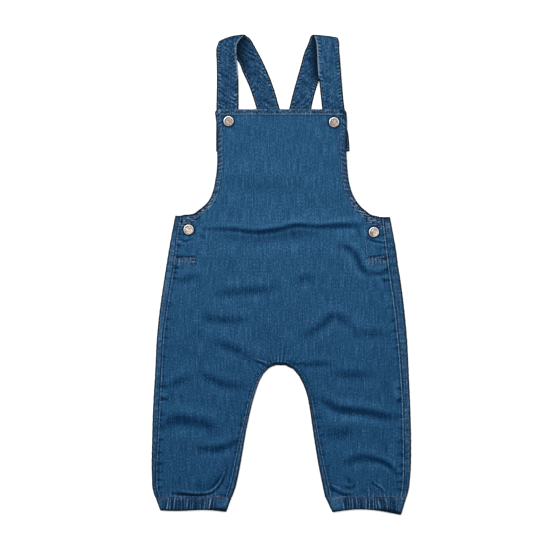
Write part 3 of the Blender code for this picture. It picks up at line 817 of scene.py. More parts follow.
def frontPlan(side):
    # Places of a half's points, its edges as lines, and the row that reaches the crotch
    line, outward, strip = foldLine(side, "side")
    seam = levelHem(line - outward * (strip + cloth["gap"]))
    arch, archOutward, lip = foldLine(side, "inner")
    archSeam = levelHem(arch - archOutward * (lip + cloth["gap"]))
    foot = outline["armholeFoot"]
    armShares = topShares(bibTop - foot, outline["bibRows"])
    armhole = smoothCurve(bibEdge[side] + [tuple(seam[0])])(armShares)
    bibY = bibTop - (bibTop - foot) * armShares
    inner, outer, crotchRow = halfPanel(bibY, foot, armhole, seam, archSeam)
    length = np.linalg.norm(outer - inner, axis=1)[:, None]
    near = np.array(innerSteps)[None, :] + 0.0 * length
    far = length - np.array(seamSteps[::-1])[None, :]
    steps = np.linspace(0.0, 1.0, frontLook["columns"] + 1)[None, 1:-1]
    between = near[:, -1:] + (far[:, :1] - near[:, -1:]) * steps
    share = np.concatenate((near, between, far), axis=1) / length
    bibRows = len(armShares)
    power = np.ones((len(inner), 1))
    power[:bibRows, 0] += (outline["cornerPower"] - 1) * np.clip(1.0 - armShares / 0.2, 0.0, 1.0)
    x = inner[:, :1] + (outer - inner)[:, :1] * share
    y = inner[:, 1:] + (outer - inner)[:, 1:] * share**power
    plan = np.stack((x, y), axis=2)
    edges = {
        "top": plan[0, ::2],
        "arm": plan[:bibRows + 1, -1][::2],
        "seam": plan[bibRows:, -1][::3],
        "inner": plan[crotchRow:, 0][::3],
    }
    return x, y, edges, crotchRow


def creaseRelief(x, y, table, tone, dark):
    # Heights of a table's creases; painted shade in troughs and painted light on ridges go to tone
    # and dark
    look = creaseLook
    relief = np.zeros_like(x)
    for number, (width, depth, route) in enumerate(table):
        ends = smoothCurve(route)(np.linspace(0.0, 1.0, 4 * len(route)))
        reach = look["reach"] * width
        low, high = ends.min(axis=0) - reach, ends.max(axis=0) + reach
        near = (x > low[0]) & (x < high[0]) & (y > low[1]) & (y < high[1])
        gap, run = toRoute(x[near], y[near], ends)
        share = run / runAlong(ends)[0].sum()
        taper = np.sin(math.pi * np.clip(share, 0.03, 0.97)) ** 0.6
        taper = taper * (0.88 + 0.22 * cloudNoise(run, 0.0, 14.0, 100 + number))
        beyond = bump(gap - look["ridgeAt"] * width, width)
        shade = np.sign(depth) * abs(depth) ** 0.7 * taper
        relief[near] += depth * taper * (look["ridge"] * beyond - bump(gap, width))
        tone[near] -= look["dark"] * shade * bump(gap, 0.8 * width)
        tone[near] += look["pale"] * shade * beyond
        shut = look["shut"] * smoothStep((depth * taper - look["shutFrom"]) / 0.6)
        dark[near] = np.maximum(dark[near], shut * bump(gap, 0.9 * width))
    return relief


def lowestNear(field, reach):
    # The lowest value within a few rows and columns
    rows, columns = field.shape
    wide = np.pad(field, reach, mode="edge")
    steps = range(2 * reach + 1)
    wide = np.minimum.reduce([wide[step:step + rows] for step in steps])
    return np.minimum.reduce([wide[:, step:step + columns] for step in steps])


def addHems(side, x, y, edges, near, fine, marked):
    # Turned hems: a raised band, twisted puckers across it with painted light and shade, and
    # painted shade beside each row of stitches
    look, tone = frontLook, marked["tone"]
    (toTop, alongTop), (toArm, _) = near["top"], near["arm"]
    hemEnd = np.array(look["hemEnd"][side])
    hemLine = np.concatenate((edges["arm"][abs(edges["arm"][:, 0]) < abs(hemEnd[0, 0])], hemEnd))
    toFold, alongFold = toRoute(x, y, hemLine)
    lowered = np.interp(abs(x), abs(hemEnd[:, 0]), hemEnd[:, 1], left=300.0)
    corner = smoothStep((y - lowered) / 0.6)
    wideFrom, wideRun, wider = look["hemSpread"]
    armWidth = look["hemWidth"][side] + wider * smoothStep((abs(x) - wideFrom) / wideRun)
    armBand = smoothStep((armWidth + 0.5 - toFold) / 0.9) * (1.0 - corner)
    topBand = smoothStep((look["topHemWidth"] + 0.5 - toTop) / 0.9)
    low = smoothStep((98.0 - y) / 12.0)
    armSeed = 11 if side == "left" else 17
    for gap, along, width, (pitch, slant), seed, strength in (
        (toFold, alongFold, armWidth, look["armRope"], armSeed, 1.0 - corner),
        (toTop, alongTop, look["topHemWidth"], look["topRope"], 12, 0.55),
    ):
        rope = 0.60 * unevenWave(along, pitch, seed, slant * gap)
        rope = rope + 0.70 * unevenWave(along, 0.54 * pitch, seed + 2, 0.8 * slant * gap)
        rope = strength * rope * smoothStep(gap / 1.0) * smoothStep((width + 1.4 - gap) / 1.8)
        fine += look["ropeHeight"] * rope
        spotted = 0.55 + 0.45 * unevenWave(along, 0.8 * pitch, seed + 4)
        streak = 0.6 * unevenWave(along, 6.0, seed + 6, 2.0 * gap)
        streak = streak + 1.15 * cloudNoise(0.7 * along, gap, 1.1, seed + 8)
        streak = streak * strength * smoothStep(gap / 0.9) * smoothStep((width + 0.9 - gap) / 0.9)
        tone += look["ropeShade"] * rope * (1.0 - 0.6 * low) + look["streakShade"] * low * streak
        tone -= 0.45 * spotted * bump(gap - width - 0.6, 0.8)
    fine += look["hemRise"] * np.maximum(armBand, topBand)
    lower = smoothStep((96.0 - y) / 16.0)
    bands = ((0.62 + 0.38 * lower) * armBand, 0.92 * topBand, 0.7 * corner)
    marked["worn"] = np.maximum.reduce(bands)
    # painted shade along the armhole's edge
    edgeDark = (0.62 + 0.33 * lower) * rim(toArm, 2.5 + 0.4 * lower)
    marked["dark"] = np.maximum(edgeDark, marked["dark"])
    tone -= look["hemShade"][side] * armBand + 0.30 * topBand + 0.15 * corner
    tone += 0.55 * cloudNoise(x, y, 1.7, 46) * topBand
    # the bib's edge is painted pale as rubbed wear and as a painted highlight on its roll
    # its hem ends in a pale line beside a dark line of painted shade
    tone += 0.35 * rim(toTop, 1.8) + 0.55 * bump(toTop - 6.0, 0.6) - 0.38 * bump(toTop - 7.3, 0.7)


def addSeams(near, fine, tone):
    # Long seams: the allowance under the topstitching, and short puckers running in from it
    look = frontLook
    for edge, seed, strength in (("seam", 21, 1.0), ("inner", 22, 0.7)):
        gap, along = near[edge]
        fine += look["seamRise"] * smoothStep((look["seamWidth"] - gap) / 2.5)
        sharp = np.maximum(-unevenWave(along, look["tickPitch"], seed), 0.0) ** 3
        spread = bump(gap - 2.0, look["tickReach"] * 0.6) * smoothStep(gap / 1.2) * strength
        small = unevenWave(along, look["tickPitch"] * 0.3, seed + 5) * bump(gap - 1.8, 2.0)
        fine += look["tickHeight"] * spread * (0.3 - sharp)
        fine += 0.10 * small * strength
        shade = look["smallShade"] * small * strength
        # painted light and shade on the puckers, and a line of painted shade beside the allowance
        tone += spread * (0.12 - look["tickShade"] * sharp) + shade
        tone += 0.10 * bump(gap - 0.9, 0.6) - 0.50 * bump(gap - 3.0, 1.0)


def addOpening(side, x, y, near, fine, marked):
    # The facing and the bar at a side opening
    look, tone = frontLook, marked["tone"]
    line, bars = plackets[side]["line"], plackets[side]["bar"]
    lineX = np.interp(-y, [-point[1] for point in line], [point[0] for point in line])
    inside = smoothStep(turnOf(side) * (x - lineX) / 0.9)
    inside = inside * smoothStep((y - (bars[1][0][1] - 1.2)) / 0.9)
    inside = inside * smoothStep((62.0 - y) / 3.0)
    toLine, alongLine = toRoute(x, y, line)
    fine += look["facingRise"] * inside
    fine -= 0.16 * bump(toLine, 0.8)
    fine += 0.05 * unevenWave(alongLine, 3.4, 31) * bump(toLine, 2.0)
    # painted shade in the facing's stitched dip
    tone -= 0.10 * bump(toLine, 1.4)
    dashes = np.maximum(unevenWave(y, 3.4, 35), 0.0) * bump(near["seam"][0] - 4.0, 1.8)
    tone += 0.70 * dashes * inside * smoothStep((45.0 - y) / 3.0)
    toBars = [toRoute(x, y, route) for route in bars]
    for toBar, alongBar in toBars:
        pucker = unevenWave(alongBar, 3.6, 33) + 0.5 * unevenWave(alongBar, 6.5, 34)
        close = bump(toBar, 2.0)
        fine += look["barHeight"] * pucker * close
        fine -= 0.10 * bump(toBar, 0.8)
        # painted light and shade on the bar's puckers
        tone += look["barShade"] * pucker * close - 0.10 * close
        marked["worn"] = np.maximum(marked["worn"], close)
    toBar, alongBar = toBars[0]
    # painted shadow along the edge above the bar
    above = (y > bars[0][0][1]) * (0.7 + 0.5 * unevenWave(alongBar, 5.5, 36))
    tone -= 1.5 * bump(toBar - 1.9, 1.0) * above


def addGathers(side, x, y, near, fine, marked):
    # Small gathers fan up from the crotch, and the cuffs' gathers run up into the legs
    look, tone, toInner = frontLook, marked["tone"], near["inner"][0]
    fanX, fanY = x - look["fanMiddle"][0], y - look["fanMiddle"][1]
    crotch = bump(fanX, 26.0) * np.exp(-toInner / 11.0) * smoothStep(toInner / 1.5)
    fan = unevenWave(np.arctan2(fanX, fanY) * 34.0, 3.7, 41)
    fine += look["fanHeight"] * fan * crotch
    # painted light on the crotch gathers' ridges and painted shade between them
    tone += (look["fanShade"] + 1.3 * np.exp(-toInner / 4.0)) * fan * crotch
    toHem = y - legHem
    start, end = sorted(cuffSpan(side))
    gathered = smoothStep((x - start) / 8.0) * smoothStep((end - x) / 8.0)
    fade = np.exp(-np.maximum(toHem, 0.0) / (6.0 + 3.0 * cloudNoise(x, 0.0, 9.0, 44)))
    gather = unevenWave(x + 0.12 * toHem, look["gatherPitch"], 43) * fade
    gather = gather * (0.25 + 0.75 * gathered)
    fine += look["gatherHeight"] * gather * smoothStep(toHem / 1.2)
    # painted light on the leg gathers' ridges and painted shade between them
    tone += look["gatherShade"] * gather
    marked["worn"] = np.maximum(marked["worn"], 0.5 * gathered * rim(toHem, 7.0))


def pressStuds(x, y, fine, marked):
    # Round each stud the cloth is pressed down and strains, with painted light and shade on the
    # strain
    for studX, studY in studs.values():
        away = np.hypot(x - studX, y - studY)
        strain = np.sin(7 * np.arctan2(y - studY, x - studX) + studX) * bump(away - 10.0, 3.0)
        fine *= smoothStep((away - 6.0) / 4.0)
        fine += frontLook["strainHeight"] * strain
        marked["tone"] += frontLook["strainShade"] * strain
        # a ring of painted shadow round the stud
        shut = 0.95 * bump(np.maximum(away - 7.0, 0.0), 0.9)
        marked["dark"] = np.maximum(marked["dark"], shut)


def frontRelief(side, x, y, edges):
    # Heights of the middle of the wall without its small forms, for its face and, lower beside
    # creases, for its coarser underside; then those forms, the marks and the rounding of edges
    look = frontLook
    near = {edge: toRoute(x, y, line) for edge, line in edges.items()}
    toEdge = np.minimum.reduce([gap for gap, _ in near.values()])
    toHem = np.maximum(y - legHem, 0.0)
    fromEdge = np.minimum(toEdge, toHem)
    left, right, foot = look["strapPatch"]
    overStraps = smoothStep((x - left) / 12.0) * smoothStep((right - x) / 12.0)
    overStraps = overStraps * smoothStep((y - foot) / 14.0)
    base = cloth["loft"] * smoothStep(fromEdge / cloth["loftReach"])
    base = np.maximum(base, look["strapRise"] * overStraps)
    held = smoothStep(fromEdge / look["creaseFade"])
    # tone starts from the painted shade that deepens down the legs
    marked = {"tone": np.interp(y, *paintedFalloff), "dark": np.zeros_like(x)}
    creased = look["creaseDepth"] * creaseRelief(x, y, creases, **marked) * held
    base = np.stack((base + creased, base + lowestNear(creased, outline["underStep"])))
    base = base + look["waviness"] * held * cloudNoise(x, y, look["waveSize"], 5)
    for studX, studY in studs.values():
        away = np.hypot(x - studX, y - studY)
        base = base * smoothStep((away - look["padLevel"]) / (look["padShaped"] - look["padLevel"]))
    lowest, softness = cloth["lowest"], cloth["softness"]
    base = cloth["seamLevel"] + base
    base = lowest + np.logaddexp(0.0, (base - lowest) / softness) * softness

    fine = look["crumple"] * cloudNoise(x, y, look["crumpleSize"], 6) * held
    addHems(side, x, y, edges, near, fine, marked)
    addSeams(near, fine, marked["tone"])
    addOpening(side, x, y, near, fine, marked)
    addGathers(side, x, y, near, fine, marked)
    pressStuds(x, y, fine, marked)
    rounding = roundEdge(toEdge, cloth["wall"] / 2)
    return *base, fine, marked, np.minimum(rounding, roundEdge(toHem, cloth["closeEdge"]))


plans = {side: frontPlan(side) for side in sides}


def buildFront():
    crotchRow = plans["left"][3]
    rows, columns = plans["left"][0].shape
    index = {"left": np.arange(rows * columns).reshape(rows, columns)}
    index["right"] = index["left"] + rows * columns
    index["right"][:crotchRow + 1, 0] = index["left"][:crotchRow + 1, 0]
    points = np.zeros((2 * rows * columns, 3))
    lower = np.zeros(len(points))
    paint = {mark: np.zeros(len(points)) for mark in marks}
    faces = []
    for side in sides:
        x, y, edges, _ = plans[side]
        base, under, fine, painted, rounding = frontRelief(side, x, y, edges)
        lift = cloth["wall"] / 2 * rounding
        points[index[side]] = np.stack((x, y, base + fine + lift), axis=2)
        lower[index[side]] = under - cloth["wall"] / 2
        for mark in marks:
            paint[mark][index[side]] = painted[mark]
        faces += gridFaces(index[side], flip=side == "right").tolist()
    points, faces = closeBelow(points, lower, faces, index, crotchRow)
    below = np.zeros(len(points) - len(lower))
    used = np.unique(np.concatenate([np.array(face) for face in faces]))
    order = np.full(len(points), -1)
    order[used] = np.arange(len(used))
    faces = [order[face].tolist() for face in faces]
    values = {mark: np.concatenate((paint[mark], below))[used] for mark in marks}
    return addMesh("frontPanel", points[used], faces, denim, points[used, :2], values)


def closeBelow(points, lower, faces, index, crotchRow):
    # A coarser underside joined to every point round the edge
    rows, columns = [count - 1 for count in index["left"].shape]
    rowStops = sorted({*range(0, rows, outline["underStep"]), crotchRow, rows})
    columnStops = [*range(0, columns, outline["underStep"]), columns]
    added = []
    below = {}

    def under(side, row, column):
        top = index[side][row, column]
        if row in (0, rows) or column == columns or (column == 0 and row >= crotchRow):
            return top
        if top not in below:
            below[top] = len(points) + len(added)
            added.append((*points[top, :2], lower[top]))
        return below[top]

    for side in sides:
        for up, down in zip(rowStops, rowStops[1:]):
            for near, far in zip(columnStops, columnStops[1:]):
                alongArch = near == 0 and up >= crotchRow
                loop = [(up, c) for c in (range(near, far) if up == 0 else [near])]
                loop += [(r, far) for r in (range(up, down) if far == columns else [up])]
                loop += [(down, c) for c in (range(far, near, -1) if down == rows else [far])]
                loop += [(r, near) for r in (range(down, up, -1) if alongArch else [down])]
                face = [under(side, row, column) for row, column in loop]
                faces.append(face if side == "right" else face[::-1])
    return np.concatenate((points, np.array(added))), faces


frontPiece = buildFront()
seat(frontPiece, "denim", "front_panel")
print("front panel made:", len(frontPiece.data.polygons), "faces")


backLook = {
    "armRows": 64,
    "armRun": 130.0,  # length of an armhole's edge
    "inward": (0.0, 0.34, 0.68),  # shares of the way from the middle
    "foldSteps": 8,
    "stripColumns": 7,
    "hemWidth": 6.0,
    "stripCrown": 0.16,
    "tickPitch": 9.6,
    "tickHeight": 0.14,
    "smallPitch": 4.1,
    "foldReach": {"side": 2.5, "inner": 3.1},  # how far in a folded edge gets painted shade
}
backSteps = (*edgeSteps, 2.4, 4.0, 6.0, 8.5, 11.0, 14.0, 18.0, 23.0)


# Painted shade of the folded edge along its run, wear and shade of its crown: run, dark, worn,
# shade
edgeShadeAndWear = {
    "left side": [(0, 0.95, 0.6, -0.1), (12, 0.96, 0.3, 0.1), (34, 0.95, 0.2, 0.34),
                  (44, 0.95, 0.2, 0.12), (56, 0.95, 0.2, 0.30), (70, 0.95, 0.2, 0.30),
                  (150, 0.94, 0.3, 0.36), (340, 0.95, 0.2, 0.20)],
    "right side": [(0, 0.95, 0.9, -0.5), (5, 0.93, 0.9, -0.2), (9, 0.93, 0.9, 0.30),
                   (18, 0.93, 0.6, 0.10), (30, 0.93, 0.3, -0.12), (80, 0.93, 0.3, 0.0),
                   (190, 0.92, 0.5, 0.15), (250, 0.92, 0.6, 0.25), (340, 0.95, 0.3, 0.1)],
    "left inner": [(0, 0.95, 0.0, -0.2), (12, 0.95, 0.2, 0.0), (30, 0.78, 0.8, 0.9),
                   (80, 0.82, 0.8, 0.8), (110, 0.85, 0.5, 0.4), (175, 0.90, 0.3, 0.1)],
    "right inner": [(0, 0.95, 0.0, -0.2), (12, 0.95, 0.1, 0.0), (34, 0.92, 0.6, 0.4),
                    (80, 0.92, 0.7, 0.5), (120, 0.90, 0.4, 0.2), (175, 0.90, 0.3, 0.1)],
}


def stripGrid(side, edge):
    # The back's edge turned up and over onto the front face, from its flat part to the seam
    look = backLook
    atSide = edge == "side"
    line, outward, width = foldLine(side, edge)
    low = cloth["wall"] / 2
    radius = (cloth["seamLevel"] - low) / 2
    inset = radius + low
    turns = np.linspace(0.0, math.pi, look["foldSteps"] + 1)
    closing = edgeSteps[-2::-1]
    toSeam = [(width[:, 0] - inset) * (1.0 - step) + closing[0] * step
              for step in np.linspace(0.0, 1.0, look["stripColumns"] + 1)[1:]]
    toSeam = np.stack(toSeam + [np.full(len(line), gap) for gap in closing[1:]], axis=1)
    columns = [(inset - radius * math.sin(angle), low + radius * (1.0 - math.cos(angle)))
               for angle in turns]
    columns += [(width - gap[:, None], cloth["seamLevel"]) for gap in toSeam.T]
    places = [np.insert(line - outward * inward, 2, height, axis=1) for inward, height in columns]
    strip = np.stack(places, axis=1)
    gap = np.concatenate((np.tile(width - inset, (1, len(turns))), toSeam), axis=1)
    span = np.maximum(width - inset, 0.4)
    fade = np.arange(len(strip))[:, None] / (len(strip) - 1.0)
    strip[:, :, 1] += (legHem - strip[-1:, :, 1]) * fade ** outline["hemPower"]
    top = strip[:1, :, 1] - strip[:, :, 1] if atSide else np.full_like(gap, 9.0)
    ends = np.minimum.reduce((gap, np.maximum(top, 0.0), np.maximum(strip[:, :, 1] - legHem, 0.0)))
    onTop = smoothStep((strip[:, :, 2] - 2.0 * low) / 1.0)
    run = runAlong(line)[1][:, None] + 0.0 * gap
    seed = 51 if atSide else 52
    tick = unevenWave(run, look["tickPitch"], seed) * onTop
    small = unevenWave(run, look["smallPitch"], seed + 4) * onTop
    crown = np.sin(math.pi * np.clip(gap / span, 0.0, 1.0)) * onTop
    table = np.array(edgeShadeAndWear[f"{side} {edge}"])
    shut, worn, pale = [np.interp(run, table[:, 0], column) for column in table[:, 1:].T]
    fromFold = np.tile(inset * (1.0 - np.sin(turns)), (len(line), 1))
    fromFold = np.concatenate((fromFold, width - toSeam), axis=1)
    upward = np.concatenate((smoothStep((turns - 1.2) / 0.4), np.ones(toSeam.shape[1])))[None, :]
    # painted shade along the fold, at the crotch's arch and at the strip's top
    folding = rim(fromFold, look["foldReach"][edge]) * (0.45 + 0.55 * upward)
    atArch = (not atSide) * rim(run, 16.0) * rim(fromFold, 4.2)
    atTop = atSide * rim(top, 2.0) * onTop
    # from the legs' painted shade, with painted light and shade on ticks and crown and painted
    # shade along the seam
    tone = np.interp(strip[:, :, 1], *paintedFalloff) + pale * onTop * smoothStep(gap / 0.8)
    tone += 0.20 * tick + 0.16 * small - 0.62 * bump(gap, 0.8) * onTop + 0.06 * crown
    paintedSeamShade = atSide * onTop * (0.6 + 0.5 * cloudNoise(run, 0.0, 9.0, seed + 6))
    tone -= 0.62 * paintedSeamShade * bump(gap - 0.52 * span, 0.8)  # painted shade where the allowance inside ends
    ticked = look["tickHeight"] * tick * np.minimum(1.0, gap / 1.5)
    return {
        "points": strip,
        "profile": roundEdge(ends, low),
        "outside": look["stripCrown"] * crown + ticked,
        "toneOut": tone,
        "wornOut": worn * onTop,
        "darkOut": np.maximum.reduce((shut * folding, 0.9 * atArch, 0.85 * atTop)),
        "uv": strip[:, :, :2],
        "flip": side == ("left" if atSide else "right"),
    }


def backGrids(side):
    look = backLook
    strips = [stripGrid(side, edge) for edge in ("side", "inner")]
    fold, archFold = [strip["points"][:, 0, :2] for strip in strips]
    near = np.array(edgeSteps) / look["armRun"]
    armShares = np.concatenate((near[:-1], np.linspace(0.0, 1.0, look["armRows"] + 1)[1:-1]))
    curve = smoothCurve(backEdge[side] + [tuple(fold[0])])
    foot = outline["backFoot"]
    topY = outline["backTop"] + (foot - outline["backTop"]) * armShares
    inner, outer, _ = halfPanel(topY, foot, curve(armShares), fold, archFold)
    length = np.linalg.norm(outer - inner, axis=1)[:, None]
    far = length - np.array(backSteps[::-1])[None, :]
    between = far[:, :1] * np.array(look["inward"])[None, :]
    share = np.concatenate((between, far), axis=1) / length
    points = inner[:, None, :] + (outer - inner)[:, None, :] * share[:, :, None]
    x, y = points[:, :, 0], points[:, :, 1]
    armLine = np.concatenate((curve(np.linspace(0.0, 1.0, 90)), fold[:1]))
    toArm, alongArm = toRoute(x, y, armLine)
    toTop = outline["backTop"] - y
    edge = np.minimum.reduce((toArm, np.maximum(toTop, 0.0), np.maximum(y - legHem, 0.0)))
    band = smoothStep((look["hemWidth"] + 0.5 - toArm) / 0.9)
    rope = unevenWave(alongArm, frontLook["armRope"][0], 13, 0.5 * toArm) * band
    # from the legs' painted shade; inside, painted light and shade on the hem's puckers and painted
    # shade beside it
    plain = np.interp(y, *paintedFalloff)
    paintedSeamShade = 0.3 * bump(toArm - look["hemWidth"] - 0.9, 0.8)
    flat = {
        "points": np.insert(points, 2, cloth["wall"] / 2, axis=2),
        "profile": roundEdge(edge, cloth["wall"] / 2),
        "inside": 0.28 * band + 0.16 * rope * smoothStep(toArm / 1.5),
        "toneOut": plain,
        "toneIn": plain + 0.55 * rope - 0.12 * band - paintedSeamShade,
        "wornIn": 0.5 * band,
        "uv": points,
        "flip": side == "left",
    }
    return [flat, *strips]


backPiece = wallShell(
    "backPanel", [grid for side in sides for grid in backGrids(side)], cloth["wall"], denim
)
seat(backPiece, "denim", "back_panel")
print("back panel made:", len(backPiece.data.polygons), "faces")


strapLevels = {
    "low": cloth["strapWall"] / 2,
    "over": 3.0,
    "onBack": cloth["wall"] + cloth["gap"] + cloth["strapWall"] / 2,
}


def strapTables():
    # Left x, y, right x, y, height of the wall's middle, and how far the section bows to the fold
    low, over, onBack = strapLevels["low"], strapLevels["over"], strapLevels["onBack"]
    return {
        "left": {
            "front": [
                (-78.6, 147.6, -51.7, 148, low, 0), (-78.6, 166, -51.7, 166, low, 0),
                (-78.5, 182, -51.6, 182, low, 0), (-78.3, 198, -51.5, 198, low, 0),
                (-78, 215, -51.4, 215, low, 0), (-77.7, 229, -51.6, 231, 1.4, 0),
                (-77.7, 243, -52.3, 245, 2.5, 0), (-77.9, 255, -53.5, 257, over, 0),
                (-78.4, 264, -54.3, 267.5, over, 0.4), (-78.3, 270, -53.4, 276, over, 1.2),
                (-77.2, 274.6, -49.6, 282.2, over, 2.2), (-75.9, 277.8, -45.4, 285.8, over, 2.1),
            ],
            "back": [
                (-74.4, 277.8, -41.6, 286.2, low, 2.4), (-68, 271.5, -37, 282.2, low, 1.2),
                (-61, 265.8, -31.6, 272.9, low, 0.4), (-52.2, 256, -25.9, 262.4, low, 0),
                (-46.1, 241.6, -20.3, 251, low, 0), (-39.2, 226.4, -14, 236.4, low, 0),
                (-34.2, 212.4, -8.4, 220.8, low, 0), (-30, 198.8, -4, 205.4, low, 0),
                (-27.7, 191, 0, 191, onBack, 0), (-23.8, 180.4, 3.4, 180.4, onBack, 0),
            ],
        },
        "right": {
            "front": [
                (55.5, 147, 82, 147.6, low, 0), (54.4, 165, 80.8, 165, low, 0),
                (51.8, 180, 78.2, 180, low, 0), (48.9, 198.1, 75.9, 198.1, low, 0),
                (47.3, 212, 74.2, 212, 1.4, 0), (45.4, 229.6, 72.6, 229.6, 2.8, 0),
                (44.2, 241, 71.7, 241, over, 0), (43.1, 258, 70.4, 258, over, 0),
                (42.5, 271, 69.3, 271, over, 0.1), (41.5, 279.8, 69.2, 277.8, over, 0.3),
                (39.4, 286, 68.2, 282.6, over, 0.5),
            ],
            "back": [
                (35, 286, 66.2, 282.6, low, 0.5), (31.5, 276.2, 59.8, 271.5, low, 0.1),
                (27.6, 267.1, 54.2, 260, low, 0), (22.9, 250.2, 48.5, 243.2, low, 0),
                (18.1, 233.6, 43, 227, low, 0), (13.6, 217, 38.8, 212.4, low, 0),
                (9.6, 200.5, 35.5, 197.6, low, 0), (7.4, 191, 34.2, 191, onBack, 0),
                (4.8, 180.4, 31.9, 180.4, onBack, 0),
            ],
        },
    }


strapLook = {
    "rowStep": 0.8,
    "foldSteps": 10,
    "middleColumns": 12,
    "stitchInset": 2.0,
    "puckerPitch": 4.3,
    "puckerHeight": 0.20,
    "crown": 0.22,
    "wrinklePitch": 4.9,
    "wrinkleHeight": 0.20,
    "reliefSpan": (-0.35, 0.45),
    "shade": -0.30,
    "worn": 0.40,
    # painted shade along the edges and at the fold
    "edgeDark": 0.94,
    "shadeReach": {"left": 11.0, "right": 7.0},
    "slant": {"left": -36.0, "right": 40.0},  # degrees
    # how wrinkled: the upper run's foot, middle and top, and the run under it
    "wrinkled": {"left": (0.9, 0.4, 0.4, 0.65), "right": (0.20, 0.12, 0.12, 0.40)},
    "mottle": {"left": 0.50, "right": 0.34},
    "upperPale": {"left": 0.0, "right": 0.22},  # the upper run is paler and less worn
}
strapSteps = (0.0, 0.12, 0.35, 0.8, 1.4, 2.0, 2.8, 3.8, 5.0, 6.4)
# Slanting wrinkles across the straps: width, depth and their x, y points, for each run
strapCreases = {
    "left": {
        "front": [(2.6, 0.5, [(-71, 218), (-63, 211)]), (2.6, 0.6, [(-73, 210), (-62, 204)]),
                  (3.0, 0.3, [(-76, 243), (-66, 240)]), (2.6, 0.5, [(-76, 259), (-68, 250)])],
        "back": [(2.4, 0.5, [(-40.5, 259), (-35, 257.5)]), (2.6, 0.6, [(-43, 251), (-36, 248)]),
                 (2.8, 0.7, [(-38, 242), (-30, 240.5), (-26, 242)]),
                 (2.6, 0.6, [(-31, 234), (-26, 231), (-19, 223)]),
                 (2.6, 0.6, [(-22, 212), (-13, 204)]), (2.2, 0.4, [(-34, 225), (-28, 219)])],
    },
    "right": {
        "front": [(3.0, 0.4, [(50, 262), (56, 258)]), (3.0, 0.4, [(49, 236), (57, 233)]),
                  (2.6, 0.4, [(60, 216), (69, 208)]), (2.6, 0.4, [(52, 209), (58, 203)])],
        "back": [(2.6, 0.6, [(31, 262), (37, 252)]), (2.4, 0.5, [(27, 244), (33, 239)]),
                 (2.6, 0.6, [(24, 232), (32, 226)]), (2.6, 0.6, [(22, 217), (28, 210)]),
                 (2.4, 0.5, [(33, 228), (38, 216)]), (2.4, 0.4, [(17, 208), (24, 203)])],
    },
}


def strapSections(side):
    # Close sections of the strap's middle, from its end on the bib over the fold to the back
    rows = {}
    for run, table in strapTables()[side].items():
        curve = smoothCurve(table)
        rows[run] = curve(np.linspace(0.0, 1.0, int(curve.length / strapLook["rowStep"])))
    last, first = rows["front"][-1], rows["back"][0]
    across = (last[2:4] - last[:2]) / np.linalg.norm(last[2:4] - last[:2])
    outward = np.array((-across[1], across[0]))
    radius = (last[4] - first[4]) / 2
    fold = []
    for angle in np.linspace(0.0, math.pi, strapLook["foldSteps"] + 1)[1:-1]:
        row = last + (first - last) * angle / math.pi
        row[:4] += np.tile(outward, 2) * radius * math.sin(angle)
        row[4] = first[4] + radius * (1.0 + math.cos(angle))
        fold.append(row)
    sections = np.concatenate((rows["front"], np.array(fold), rows["back"]))
    sections[:, 4] = np.maximum(sections[:, 4], strapLevels["low"])
    return sections, len(rows["front"]), len(rows["front"]) + len(fold)


